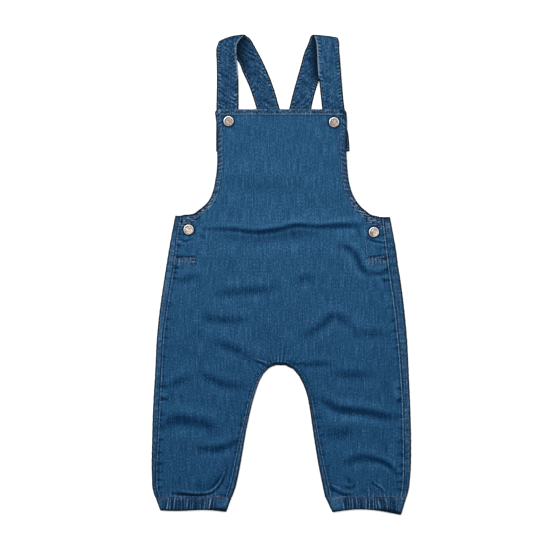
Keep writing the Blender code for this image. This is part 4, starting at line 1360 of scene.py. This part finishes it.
def strapGrid(side):
    look = strapLook
    sections, foldStart, foldEnd = strapSections(side)
    left, right, height, bow = sections[:, :2], sections[:, 2:4], sections[:, 4], sections[:, 5]
    width = np.linalg.norm(right - left, axis=1)[:, None]
    near = np.array(strapSteps)[None, :] + 0.0 * width
    steps = np.linspace(0.0, 1.0, look["middleColumns"] + 1)[None, 1:-1]
    between = near[:, -1:] + (width - 2 * near[:, -1:]) * steps
    across = np.concatenate((near, between, width - near[:, ::-1]), axis=1)
    share = (across / width)[:, :, None]
    plan = left[:, None, :] + (right - left)[:, None, :] * share
    square = (right - left) / width
    outward = np.stack((-square[:, 1], square[:, 0]), axis=1)[:, None, :]
    plan = plan + outward * bow[:, None, None] * 4 * share * (1 - share)
    x, y = plan[:, :, 0], plan[:, :, 1]
    middle = np.column_stack(((left + right) / 2, height))
    run = np.broadcast_to(runAlong(middle)[1][:, None], across.shape)
    height = np.broadcast_to(height[:, None], across.shape)
    rows = np.arange(len(sections))[:, None] + 0 * across
    onUpper, onUnder = rows < foldStart, rows >= foldEnd

    edge = np.minimum(across, width - across)
    inset = edge - look["stitchInset"]
    shifted = run + 60.0 * (across > width / 2)
    pucker = unevenWave(shifted, look["puckerPitch"], 61, 0.4 * edge)
    pucker = pucker + 0.5 * unevenWave(shifted, 2.3 * look["puckerPitch"], 62, 0.8 * edge)
    near = bump(edge - 2.6, 1.9) * smoothStep(edge / 1.0)
    relief = look["crown"] * smoothStep(inset / 6.0)
    relief = relief + look["puckerHeight"] * pucker * near - 0.16 * bump(inset, 0.6)
    relief = relief + 0.10 * cloudNoise(x, y, 5.0, 63)
    # painted light and shade on the puckers, and painted shade in the stitched dip
    tone = look["shade"] + 1.20 * pucker * near - 0.20 * bump(inset, 0.7)
    tone = tone + 0.12 * cloudNoise(x, y, 5.5, 64)
    tone = tone + look["mottle"][side] * cloudNoise(x, y, 1.35, 68)
    # Slanting wrinkles where the two layers have shrunk against each other
    slant = math.radians(look["slant"][side])
    drift = -x * math.sin(slant) + y * math.cos(slant) + 1.6 * cloudNoise(x, y, 8.0, 65)
    patch = 0.5 + 0.5 * cloudNoise(x, y, 11.0, 66)
    *upper, under = look["wrinkled"][side]
    wrinkled = np.where(onUpper, np.interp(y, (218.0, 232.0, 250.0), upper), under)
    wrinkle = unevenWave(drift, look["wrinklePitch"], 67)
    wrinkle = wrinkle * patch * wrinkled * smoothStep((edge - 0.8) / 2.0)
    relief = relief + look["wrinkleHeight"] * wrinkle
    # painted light and shade on the wrinkles
    tone = tone + 1.25 * wrinkle
    # their creases add painted shade and light
    for name, chosen in (("front", onUpper), ("back", onUnder)):
        extra = np.zeros_like(x)
        crease = creaseRelief(x, y, strapCreases[side][name], extra, np.zeros_like(x))
        relief = relief + np.where(chosen, crease, 0.0)
        tone = tone + np.where(chosen, extra, 0.0)
    # The under run gets a painted shadow from the upper one, whose inner edge is painted pale
    # as rubbed wear and as a painted highlight where its edge catches the light
    innerSide = across > width / 2 if side == "left" else across < width / 2
    upperEdge = sections[:foldStart, 2:4] if side == "left" else sections[:foldStart, :2]
    toUpper, _ = toRoute(x, y, upperEdge[upperEdge[:, 1] > 215.0][::4])
    shaded = onUnder * smoothStep((y - 222.0) / 18.0) * bump(toUpper, look["shadeReach"][side])
    rubbed = onUpper * smoothStep((y - 232.0) / 8.0) * innerSide * rim(edge, 2.4)
    # painted shadow over the upper run's lower end
    tucked = onUpper * smoothStep((181.0 - y) / 4.0) * smoothStep((y - 150.0) / 4.0)
    tone = tone + 1.1 * rubbed - 0.7 * shaded
    tone = tone + look["upperPale"][side] * onUpper * smoothStep((y - 200.0) / 8.0)
    freckle = np.minimum(cloudNoise(x, y, 1.5, 69) + 0.35, 0.0) * bump(edge - 4.5, 3.2)
    tone = tone + 1.3 * freckle * onUpper
    # painted shade at the fold and along the edges
    fold = bump(run - run[(foldStart + foldEnd) // 2, 0], 2.2)
    dark = look["edgeDark"] * np.maximum(rim(edge, 2.7) * (1.0 - rubbed), fold)
    dark = np.maximum.reduce((dark, 0.88 * shaded, 0.9 * tucked))
    relief = np.clip(relief, *look["reliefSpan"])
    worn = np.maximum(look["worn"] - 0.8 * look["upperPale"][side] * onUpper, rubbed)
    marked = {"tone": tone, "worn": worn, "dark": dark}
    return {
        "points": np.dstack((plan, height)),
        "profile": roundEdge(edge, cloth["strapWall"] / 2),
        "outside": relief * onUpper,  # flat where it rests
        "inside": relief * 0.6 * onUnder * (height < 1.0),
        "uv": np.dstack((across, run)),
        "runs": (foldStart, foldEnd),
        **{mark + face: value for mark, value in marked.items() for face in ("Out", "In")},
    }


strapGrids = {side: strapGrid(side) for side in sides}
for side in sides:
    name = f"strap{side.capitalize()}"
    piece = wallShell(name, [strapGrids[side]], cloth["strapWall"], denim)
    seat(piece, "denim", f"strap_{side}")
print("straps made")


cuffLook = {
    "frontColumns": 200,
    "backColumns": 36,
    "foldSteps": 8,
    "rows": 12,
    "pitch": 3.9,
    "height": 1.15,
    "unevenness": 1.3,
    "slant": -0.012,
    # how far up from the turned foot it gets painted shade, and how much farther at its darkest
    # place across
    "foot": {"left": (3.4, 3.2, 9.0), "right": (3.8, 3.6, 74.0)},
}


def cuffRing(side):
    size = cuffs[side]
    top, bottom = np.array(size["top"]), np.array(size["bottom"])
    low = cloth["wall"] / 2
    radius = (cloth["seamLevel"] - low) / 2
    tall = abs(bottom[:, 1].mean() - top[:, 1].mean())
    closing = np.array(edgeSteps) / tall
    between = np.linspace(closing[-1], 1.0 - closing[-1], cuffLook["rows"] + 1)[1:-1]
    downs = np.concatenate((closing, between, 1.0 - closing[::-1]))
    front = np.linspace(0.0, 1.0, cuffLook["frontColumns"] + 1)
    back = np.linspace(1.0, 0.0, cuffLook["backColumns"] + 1)
    turns = np.linspace(0.0, math.pi, cuffLook["foldSteps"] + 1)[1:-1]
    rings = []
    for down in downs:
        inner, outer = top + (bottom - top) * down
        line = (outer - inner) / np.linalg.norm(outer - inner)
        inner, outer = inner + line * (radius + low), outer - line * (radius + low)
        up = np.array((0.0, down**2))

        def place(u):
            rise = size["bow"] * np.sin(math.pi * u) + size["sway"] * np.sin(2 * math.pi * u)
            return inner + (outer - inner) * u[:, None] + up * rise[:, None]

        def folded(end, way):
            spots = end + way * line * radius * np.sin(turns)[:, None]
            return np.column_stack((spots, low + radius * (1.0 + way * np.cos(turns))))

        ring = [np.insert(place(front), 2, cloth["seamLevel"], axis=1), folded(outer, 1.0)]
        ring += [np.insert(place(back), 2, low, axis=1), folded(inner, -1.0), ring[0][:1]]
        rings.append(np.concatenate(ring))
    points = np.array(rings)
    x = points[:, :, 0]
    fromInner = abs(x - top[0, 0])
    around = fromInner.copy()
    around[:, len(front):] = -1.0  # only the front is gathered
    start, end = size["gathered"]
    share = around / abs(top[1, 0] - top[0, 0])
    strength = smoothStep((share - start) / 0.07) * smoothStep((end - share) / 0.07)
    downs = np.broadcast_to(downs[:, None], around.shape)
    toTop, toFoot = downs * tall, (1.0 - downs) * tall
    strength = strength * (1.0 - 0.62 * bump(toTop - 1.8, 1.5))
    strength = strength * smoothStep(np.minimum(downs, 1.0 - downs) * tall / 0.5)
    patchy = cloudNoise(x, 0.0, 3.2, 71 + len(side))
    # from the legs' painted shade, with a band of painted shade just below the seam
    shade = paintedFalloff[1][0] - 0.22 * bump(toTop - 1.9, 0.9) + 0.30 * patchy * bump(toTop, 2.5)
    shade = shade + 0.26 * (1.0 - strength) * smoothStep((toFoot - 2.0) / 3.0)
    shut, more, darkest = cuffLook["foot"][side]
    # painted shade at the foot and at both turned ends
    ends = np.minimum(x - x.min(axis=1)[:, None], x.max(axis=1)[:, None] - x)
    dark = 0.95 * rim(toFoot, shut + more * bump(fromInner - darkest, 14.0))
    return {
        "points": points,
        "profile": np.minimum(roundEdge(toFoot, low), roundEdge(toTop, cloth["closeEdge"])),
        "toneOut": shade,
        "wornOut": 0.30 + 0.4 * rim(toTop, 4.5),
        "darkOut": np.maximum(dark, 0.92 * rim(ends + low, 3.0)),
        "uv": points[:, :, :2],
        "flip": side == "right",
        "around": around,
        "strength": strength,
        "down": toTop,
    }


def newGeometryTree(name, sockets):
    # A geometry tree with named inputs: name to socket type and default
    group = bpy.data.node_groups.new(name, "GeometryNodeTree")
    for way in ("OUTPUT", "INPUT"):
        group.interface.new_socket("Geometry", in_out=way, socket_type="NodeSocketGeometry")
    for label, (kind, value) in sockets.items():
        socket = group.interface.new_socket(label, in_out="INPUT", socket_type=f"NodeSocket{kind}")
        if value is not None:
            socket.default_value = value
    tree = Tree(group)
    return group, tree, tree.node("NodeGroupInput")


def endTree(tree, given, geometry):
    # Instances become one mesh, which takes the material
    whole = tree.node("GeometryNodeRealizeInstances", None, {"Geometry": geometry})
    finish = {"Geometry": whole, "Material": given.at("Material")}
    coated = tree.node("GeometryNodeSetMaterial", None, finish)
    tree.node("NodeGroupOutput", None, {"Geometry": coated})


def applyTree(piece, group, values):
    # Runs the tree on a piece and keeps the result as its plain mesh
    modifier = piece.modifiers.new(group.name, "NODES")
    modifier.node_group = group
    for item in group.interface.items_tree:
        if item.in_out == "INPUT" and item.name in values:
            modifier[item.identifier] = values[item.name]
    evaluated = piece.evaluated_get(bpy.context.evaluated_depsgraph_get())
    made = bpy.data.meshes.new_from_object(evaluated)
    piece.modifiers.remove(modifier)
    old = piece.data
    piece.data = made
    made.name = piece.name
    bpy.data.meshes.remove(old)
    made.shade_smooth()


def gatherTree():
    sizes = {key.capitalize(): ("Float", cuffLook[key])
             for key in ("pitch", "height", "unevenness", "slant")}
    group, tree, given = newGeometryTree(
        "elasticGathers", {**sizes, "Seed": ("Float", 0.0), "Material": ("Material", None)}
    )
    kept = {"data_type": "FLOAT"}
    around, down, strength, tone, worn = [
        tree.node("GeometryNodeInputNamedAttribute", kept, {"Name": name})
        for name in ("around", "down", "strength", "tone", "worn")
    ]
    turns = around / given.at("Pitch")
    warp, lean, size = [
        tree.noise(tree.vector(turns * often, down * drawn, given.at("Seed") + layer), detail=1.0)
        for often, drawn, layer in ((0.45, 0.012, 0.0), (0.8, 0.03, 5.0), (0.9, 0.04, 9.0))
    ]
    phase = turns + (warp - 0.5) * given.at("Unevenness") * 2.0 + down * given.at("Slant")
    ridge = tree.maths("ABSOLUTE", ((phase + (lean - 0.5) * 0.5) * math.pi).sine())
    tall = (0.30 + size * 1.3) * ridge**1.4
    crest = (size * 2.8 + 0.1) * ridge**7.0
    rise = tree.vector(0.0, 0.0, strength * given.at("Height") * tall * mm)
    moved = tree.node("GeometryNodeSetPosition", None, {"Geometry": given, "Offset": rise})
    kept = {"data_type": "FLOAT", "domain": "POINT"}
    # the crests get painted light and the hollows painted shade, and the crests are a little worn
    shade = tone + strength * (crest - 0.68)
    for mark, value in (("tone", shade), ("worn", worn + strength * crest * 0.35)):
        inputs = {"Geometry": moved, "Name": mark, "Value": value}
        moved = tree.node("GeometryNodeStoreNamedAttribute", kept, inputs)
    endTree(tree, given, moved)
    return group


cuffPieces = {}
gathers = gatherTree()
for side, seed in zip(sides, (3.0, 7.0)):
    carried = ("around", "strength", "down")
    name = f"cuff{side.capitalize()}"
    piece = wallShell(name, [cuffRing(side)], cloth["wall"], denim, carried)
    applyTree(piece, gathers, {"Seed": seed, "Material": denim})
    cuffPieces[side] = seat(piece, "denim", f"cuff_{side}")
print("cuffs gathered")


studLook = {
    # radius and height above the flat foot, outside to middle
    "profile": [(5.1, 0.0), (5.9, 0.35), (6.17, 1.1), (5.95, 1.8), (5.45, 2.2), (4.95, 2.05),
                (4.5, 1.6), (4.1, 1.42), (2.0, 1.38), (0.4, 1.36)],
    "steps": 30,
    "sides": 64,
    "dishFrom": 5.25,
    "dishEdge": 0.6,
    # how much painted shade the rim gets on its lower side
    "paintedRimShade": {"bib": 0.95, "side": 0.75},
    "dishShift": (0.2, -0.5),  # the bright rim is painted broadest at the top, as a painted highlight
    "paintedShadeTurn": 1.8,  # the rim's lower side gets painted shade
}


def addStud(node, place):
    look = studLook
    foot = nodeBox(node)[0][2]
    curve = smoothCurve(look["profile"])(np.linspace(0.0, 1.0, look["steps"]))
    turns = np.arange(look["sides"]) * 2 * math.pi / look["sides"]
    circle = np.stack((np.cos(turns), np.sin(turns)), axis=1)
    points = np.concatenate([
        np.insert(place + radius * circle, 2, foot + height, axis=1) for radius, height in curve
    ])
    index = np.arange(len(points)).reshape(len(curve), -1)
    index = np.concatenate((index, index[:, :1]), axis=1)
    faces = gridFaces(index).tolist()
    faces += [index[0, :-1][::-1].tolist(), index[-1, :-1].tolist()]
    radius = np.repeat(curve[:, 0], look["sides"])
    fromMiddle = points[:, :2] - place - np.array(look["dishShift"])
    toDish = look["dishFrom"] - np.linalg.norm(fromMiddle, axis=1)
    dish = smoothStep(toDish / look["dishEdge"])
    kind = node.split("_")[1]
    # painted shade on the rim's lower side goes in with the dish's tarnish
    turned = smoothStep(np.tile(np.cos(turns + look["paintedShadeTurn"]), len(curve)) + 0.3)
    tarnish = metalLook["tarnish"][kind] * dish
    tarnish = tarnish + look["paintedRimShade"][kind] * turned * (radius / radius.max()) ** 2
    marked = {"dish": dish, "tarnish": np.clip(tarnish, 0.0, 1.0)}
    first, *words = node.split("_")
    name = first + "".join(word.capitalize() for word in words)
    seat(addMesh(name, points, faces, metal, None, marked), "stud_metal", node)


for node, place in studs.items():
    addStud(node, place)
print("studs turned")


stitchLook = {
    "pitch": 3.1,
    "length": 2.4,
    "thread": 0.50,
    "rise": 0.18,
    "sink": 0.16,
    "jitter": 0.12,  # radians
    "uneven": (0.88, 1.08),  # shortest and longest, of the length
}
# Rows of stitches: thread on the left and right, seed, and sizes other than those above
sewing = {
    "BibHem": ("pale", "pale", 1, {"Pitch": 2.8, "Length": 2.1}),
    "Armhole": ("blue", "blue", 3, {}),
    "Side": ("blue", "pale", 5, {}),
    "InnerLeg": ("blue", "blue", 7, {}),
    "Strap": ("blue", "blue", 11, {"Length": 1.9}),
    "Facing": ("faded", "pale", 9, {"Pitch": 2.7, "Length": 1.6}),
    "Bar": ("faded", "faded", 13, {"Pitch": 3.6, "Length": 2.2}),
    "Tack": ("tan", "tan", 17, {"Pitch": 2.7, "Length": 1.9}),
    "Cuff": ("faded", "faded", 15, {"Pitch": 3.1, "Length": 1.9, "Thread": 0.45}),
}


def stitchTree():
    sizes = {key.capitalize(): ("Float", stitchLook[key] * mm)
             for key in ("pitch", "length", "thread", "rise", "sink")}
    group, tree, given = newGeometryTree("stitches", {
        **sizes, "Jitter": ("Float", stitchLook["jitter"]), "Seed": ("Int", 1),
        "Material": ("Material", None),
    })
    line = tree.node("GeometryNodeMeshToCurve", None, {"Mesh": given})
    inputs = {"Curve": line, "Length": given.at("Pitch")}
    spots = tree.node("GeometryNodeResampleCurve", {"mode": "LENGTH"}, inputs)
    reach, low = given.at("Length") * 0.5, given.at("Sink") * -1.0
    bent = tree.node("GeometryNodeCurveQuadraticBezier", None, {
        "Resolution": 5,
        "Start": tree.vector(reach * -1.0, 0.0, low),
        "Middle": tree.vector(0.0, 0.0, given.at("Rise") * 2.0),
        "End": tree.vector(reach, 0.0, low),
    })
    inputs = {"Resolution": 6, "Radius": given.at("Thread") * 0.5}
    section = tree.node("GeometryNodeCurvePrimitiveCircle", None, inputs)
    inputs = {"Curve": bent, "Profile Curve": section, "Fill Caps": True}
    stitch = tree.node("GeometryNodeCurveToMesh", None, inputs)
    ahead = tree.node("GeometryNodeInputTangent")
    kind, kept = "FunctionNodeAlignRotationToVector", {"axis": "X", "pivot_axis": "Z"}
    level = tree.node(kind, kept, {"Vector": ahead})
    kept = {"axis": "X", "pivot_axis": "AUTO"}
    turned = tree.node(kind, kept, {"Rotation": level, "Vector": ahead})
    jitter = given.at("Jitter")
    lean = tree.vector(0.0, 0.0, tree.random(jitter * -1.0, jitter, given.at("Seed")))
    lean = tree.node("FunctionNodeEulerToRotation", None, {0: lean})
    inputs = {"Rotation": turned, "Rotate By": lean}
    own = tree.node("FunctionNodeRotateRotation", {"rotation_space": "LOCAL"}, inputs)
    size = tree.vector(tree.random(*stitchLook["uneven"], given.at("Seed") + 1.0), 1.0, 1.0)
    inputs = {"Points": spots, "Instance": stitch, "Rotation": own, "Scale": size}
    endTree(tree, given, tree.node("GeometryNodeInstanceOnPoints", None, inputs))
    return group


def levelFinder(*pieces):
    # Finds the height of the cloth's upper face near a point
    found = []
    for piece in pieces:
        spots = np.empty(len(piece.data.vertices) * 3)
        normals = np.empty(len(spots))
        piece.data.vertices.foreach_get("co", spots)
        piece.data.vertex_normals.foreach_get("vector", normals)
        found.append((spots.reshape(-1, 3) / mm)[normals[2::3] > 0.5])
    found = np.concatenate(found)
    nearby = KDTree(len(found))
    for number, spot in enumerate(found):
        nearby.insert((spot[0], spot[1], 0.0), number)
    nearby.balance()

    def level(x, y):
        close = nearby.find_n((x, y, 0.0), 3)
        weights = [1.0 / (gap + 0.05) for _, _, gap in close]
        heights = [found[number][2] for _, number, _ in close]
        return sum(w * h for w, h in zip(weights, heights)) / sum(weights)

    return level


def evenly(points, step=1.0):
    # The same line with points a step apart
    points = np.array(points, float)
    done = runAlong(points)[1]
    places = np.linspace(0.0, done[-1], max(int(done[-1] / step), 2) + 1)
    return np.stack([np.interp(places, done, column) for column in points.T], axis=1)


def insetLine(points, inset, turn, start, end):
    # A line inside an edge, trimmed at both ends
    line = evenly(points)
    line = line - squareTo(np.gradient(line, axis=0), turn) * inset
    return evenly(line)[start:len(line) - end]


def sew(row, lines, side=""):
    # Rows of stitches along lines of x, y, z points, joined in one piece
    onLeft, onRight, seed, sizes = sewing[row]
    name = f"stitches{row}{side.capitalize()}"
    links, start = [], 0
    for line in lines:
        links += [(start + step, start + step + 1) for step in range(len(line) - 1)]
        start += len(line)
    mesh = bpy.data.meshes.new(name)
    mesh.from_pydata((np.concatenate(lines) * mm).tolist(), links, [])
    piece = bpy.data.objects.new(name, mesh)
    bpy.context.scene.collection.objects.link(piece)
    thread = threads[onRight if side == "right" else onLeft]
    values = {key: value * mm for key, value in sizes.items()}
    applyTree(piece, stitches, {"Seed": seed, "Material": thread, **values})
    seat(piece, None)


stitches = stitchTree()
frontLevel = levelFinder(frontPiece)
clothLevel = levelFinder(frontPiece, *cuffPieces.values())


def lay(line, above=0.05, level=frontLevel):
    return np.array([(x, y, level(x, y) + above) for x, y in line])


def onStrap(side):
    # Lines along both edges of the strap's upper faces, before and after the fold
    grid = strapGrids[side]
    start, end = grid["runs"]
    column = strapSteps.index(strapLook["stitchInset"])
    lines = []
    for across in (column, -1 - column):
        for rows, face in ((slice(4, start - 2), "outside"), (slice(end + 2, -4), "inside")):
            line = grid["points"][rows, across].copy()
            line[:, 2] += cloth["strapWall"] / 2 + grid[face][rows, across] + 0.03
            lines.append(evenly(line))
    return lines


hemLine = np.concatenate((plans["left"][2]["top"][::-1], plans["right"][2]["top"][1:]))
sew("BibHem", [lay(insetLine(hemLine, 5.9, 1.0, 4, 4))])
for side in sides:
    edges, turn, placket = plans[side][2], turnOf(side), plackets[side]
    armInset = frontLook["hemWidth"][side] - 0.6
    sew("Armhole", [lay(insetLine(edges["arm"], armInset, turn, 5, 2))], side)
    sew("Side", [lay(insetLine(edges["seam"], 1.3, turn, 2, 1))], side)
    sew("InnerLeg", [lay(insetLine(edges["inner"], 1.2, -turn, 62, 1))], side)
    sew("Strap", onStrap(side), side)
    sew("Facing", [lay(evenly(placket["line"]), 0.0)], side)
    sew("Bar", [lay(evenly(route)) for route in placket["bar"]], side)
    sew("Tack", [lay(evenly(route, 0.6), 0.05, clothLevel) for route in placket["tacks"]], side)
    (inner, _), (outer, _) = cuffs[side]["top"]
    hem = evenly([(inner + 3.0 * turn, 0.0), (outer, 0.0)])
    hem[:, 1] = legHem + 0.7 + 0.55 * unevenWave(hem[:, 0], 9.0, 73)
    sew("Cuff", [lay(hem[3:-5], 0.02, lambda x, y: frontLevel(x, legHem + 0.9))], side)
print("front sewn")
cameraLook = {
    "middle": (-7.8, -0.84),  # what the camera looks straight down on
    "field": 660.0,  # width of the view there
    "height": 3000.0,
    "sensor": 36.0,
    "farthest": 20.0,  # metres
}


def addCamera():
    camera = bpy.data.objects.new("camera", bpy.data.cameras.new("camera"))
    bpy.context.scene.collection.objects.link(camera)
    x, y = cameraLook["middle"]
    camera.location = (x * mm, y * mm, (cameraLook["height"] + cloth["seamLevel"]) * mm)
    camera.data.sensor_width = cameraLook["sensor"]
    camera.data.lens = cameraLook["sensor"] * cameraLook["height"] / cameraLook["field"]
    camera.data.clip_end = cameraLook["farthest"]
    bpy.context.scene.camera = camera


lightLook = {
    "sky": {"zenith": 1.02, "horizon": 0.88, "slope": 0.30},  # the slope brightens it up and left
    "key": {"place": (-0.6, 1.0, 2.2), "size": 1.4, "power": 36.0, "mirrored": True},
    "fill": {"place": (1.4, -0.4, 1.8), "size": 1.6, "power": 12.0, "mirrored": False},
    "paper": {"reach": 3000.0, "level": -0.2, "colour": (0.97, 0.97, 0.97, 1.0)},
}


def addLight(name, place, size, power, mirrored):
    data = bpy.data.lights.new(name, "AREA")
    data.size = size
    data.energy = power
    lamp = bpy.data.objects.new(name, data)
    bpy.context.scene.collection.objects.link(lamp)
    lamp.location = place
    lamp.visible_glossy = mirrored
    lamp.rotation_euler = (-Vector(place)).to_track_quat("-Z", "Y").to_euler()


def addStage():
    world = bpy.data.worlds.new("studio")
    world.use_nodes = True
    tree = Tree(world.node_tree)
    look, paper = lightLook["sky"], lightLook["paper"]
    parts = tree.node("ShaderNodeSeparateXYZ", None, {0: tree.node("ShaderNodeTexCoord")})
    level = look["horizon"] + parts.at("Z").within(0.0, 0.9) * (look["zenith"] - look["horizon"])
    sky = world.node_tree.nodes["Background"]
    tree.feed(sky.inputs["Color"], (1.0, 1.0, 1.0, 1.0))
    tree.feed(sky.inputs["Strength"], level + (parts.at("Y") - parts) * look["slope"])
    bpy.context.scene.world = world
    for name in ("key", "fill"):
        addLight(name, **lightLook[name])
    corners = np.array([(-1, -1, 0), (1, -1, 0), (1, 1, 0), (-1, 1, 0)]) * paper["reach"]
    corners[:, 2] = paper["level"]
    surface = finishSurface(*newSurface("paper"), Base_Color=paper["colour"], Roughness=0.95)
    addMesh("floor", corners, [[0, 1, 2, 3]], surface)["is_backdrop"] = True
    bpy.context.scene.view_settings.view_transform = "Standard"


addCamera()
addStage()
print("stage set")

boxes = {"cad": cadBox, "visual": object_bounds()}
boxes = {name: [list(map(float, corner)) for corner in box] for name, box in boxes.items()}
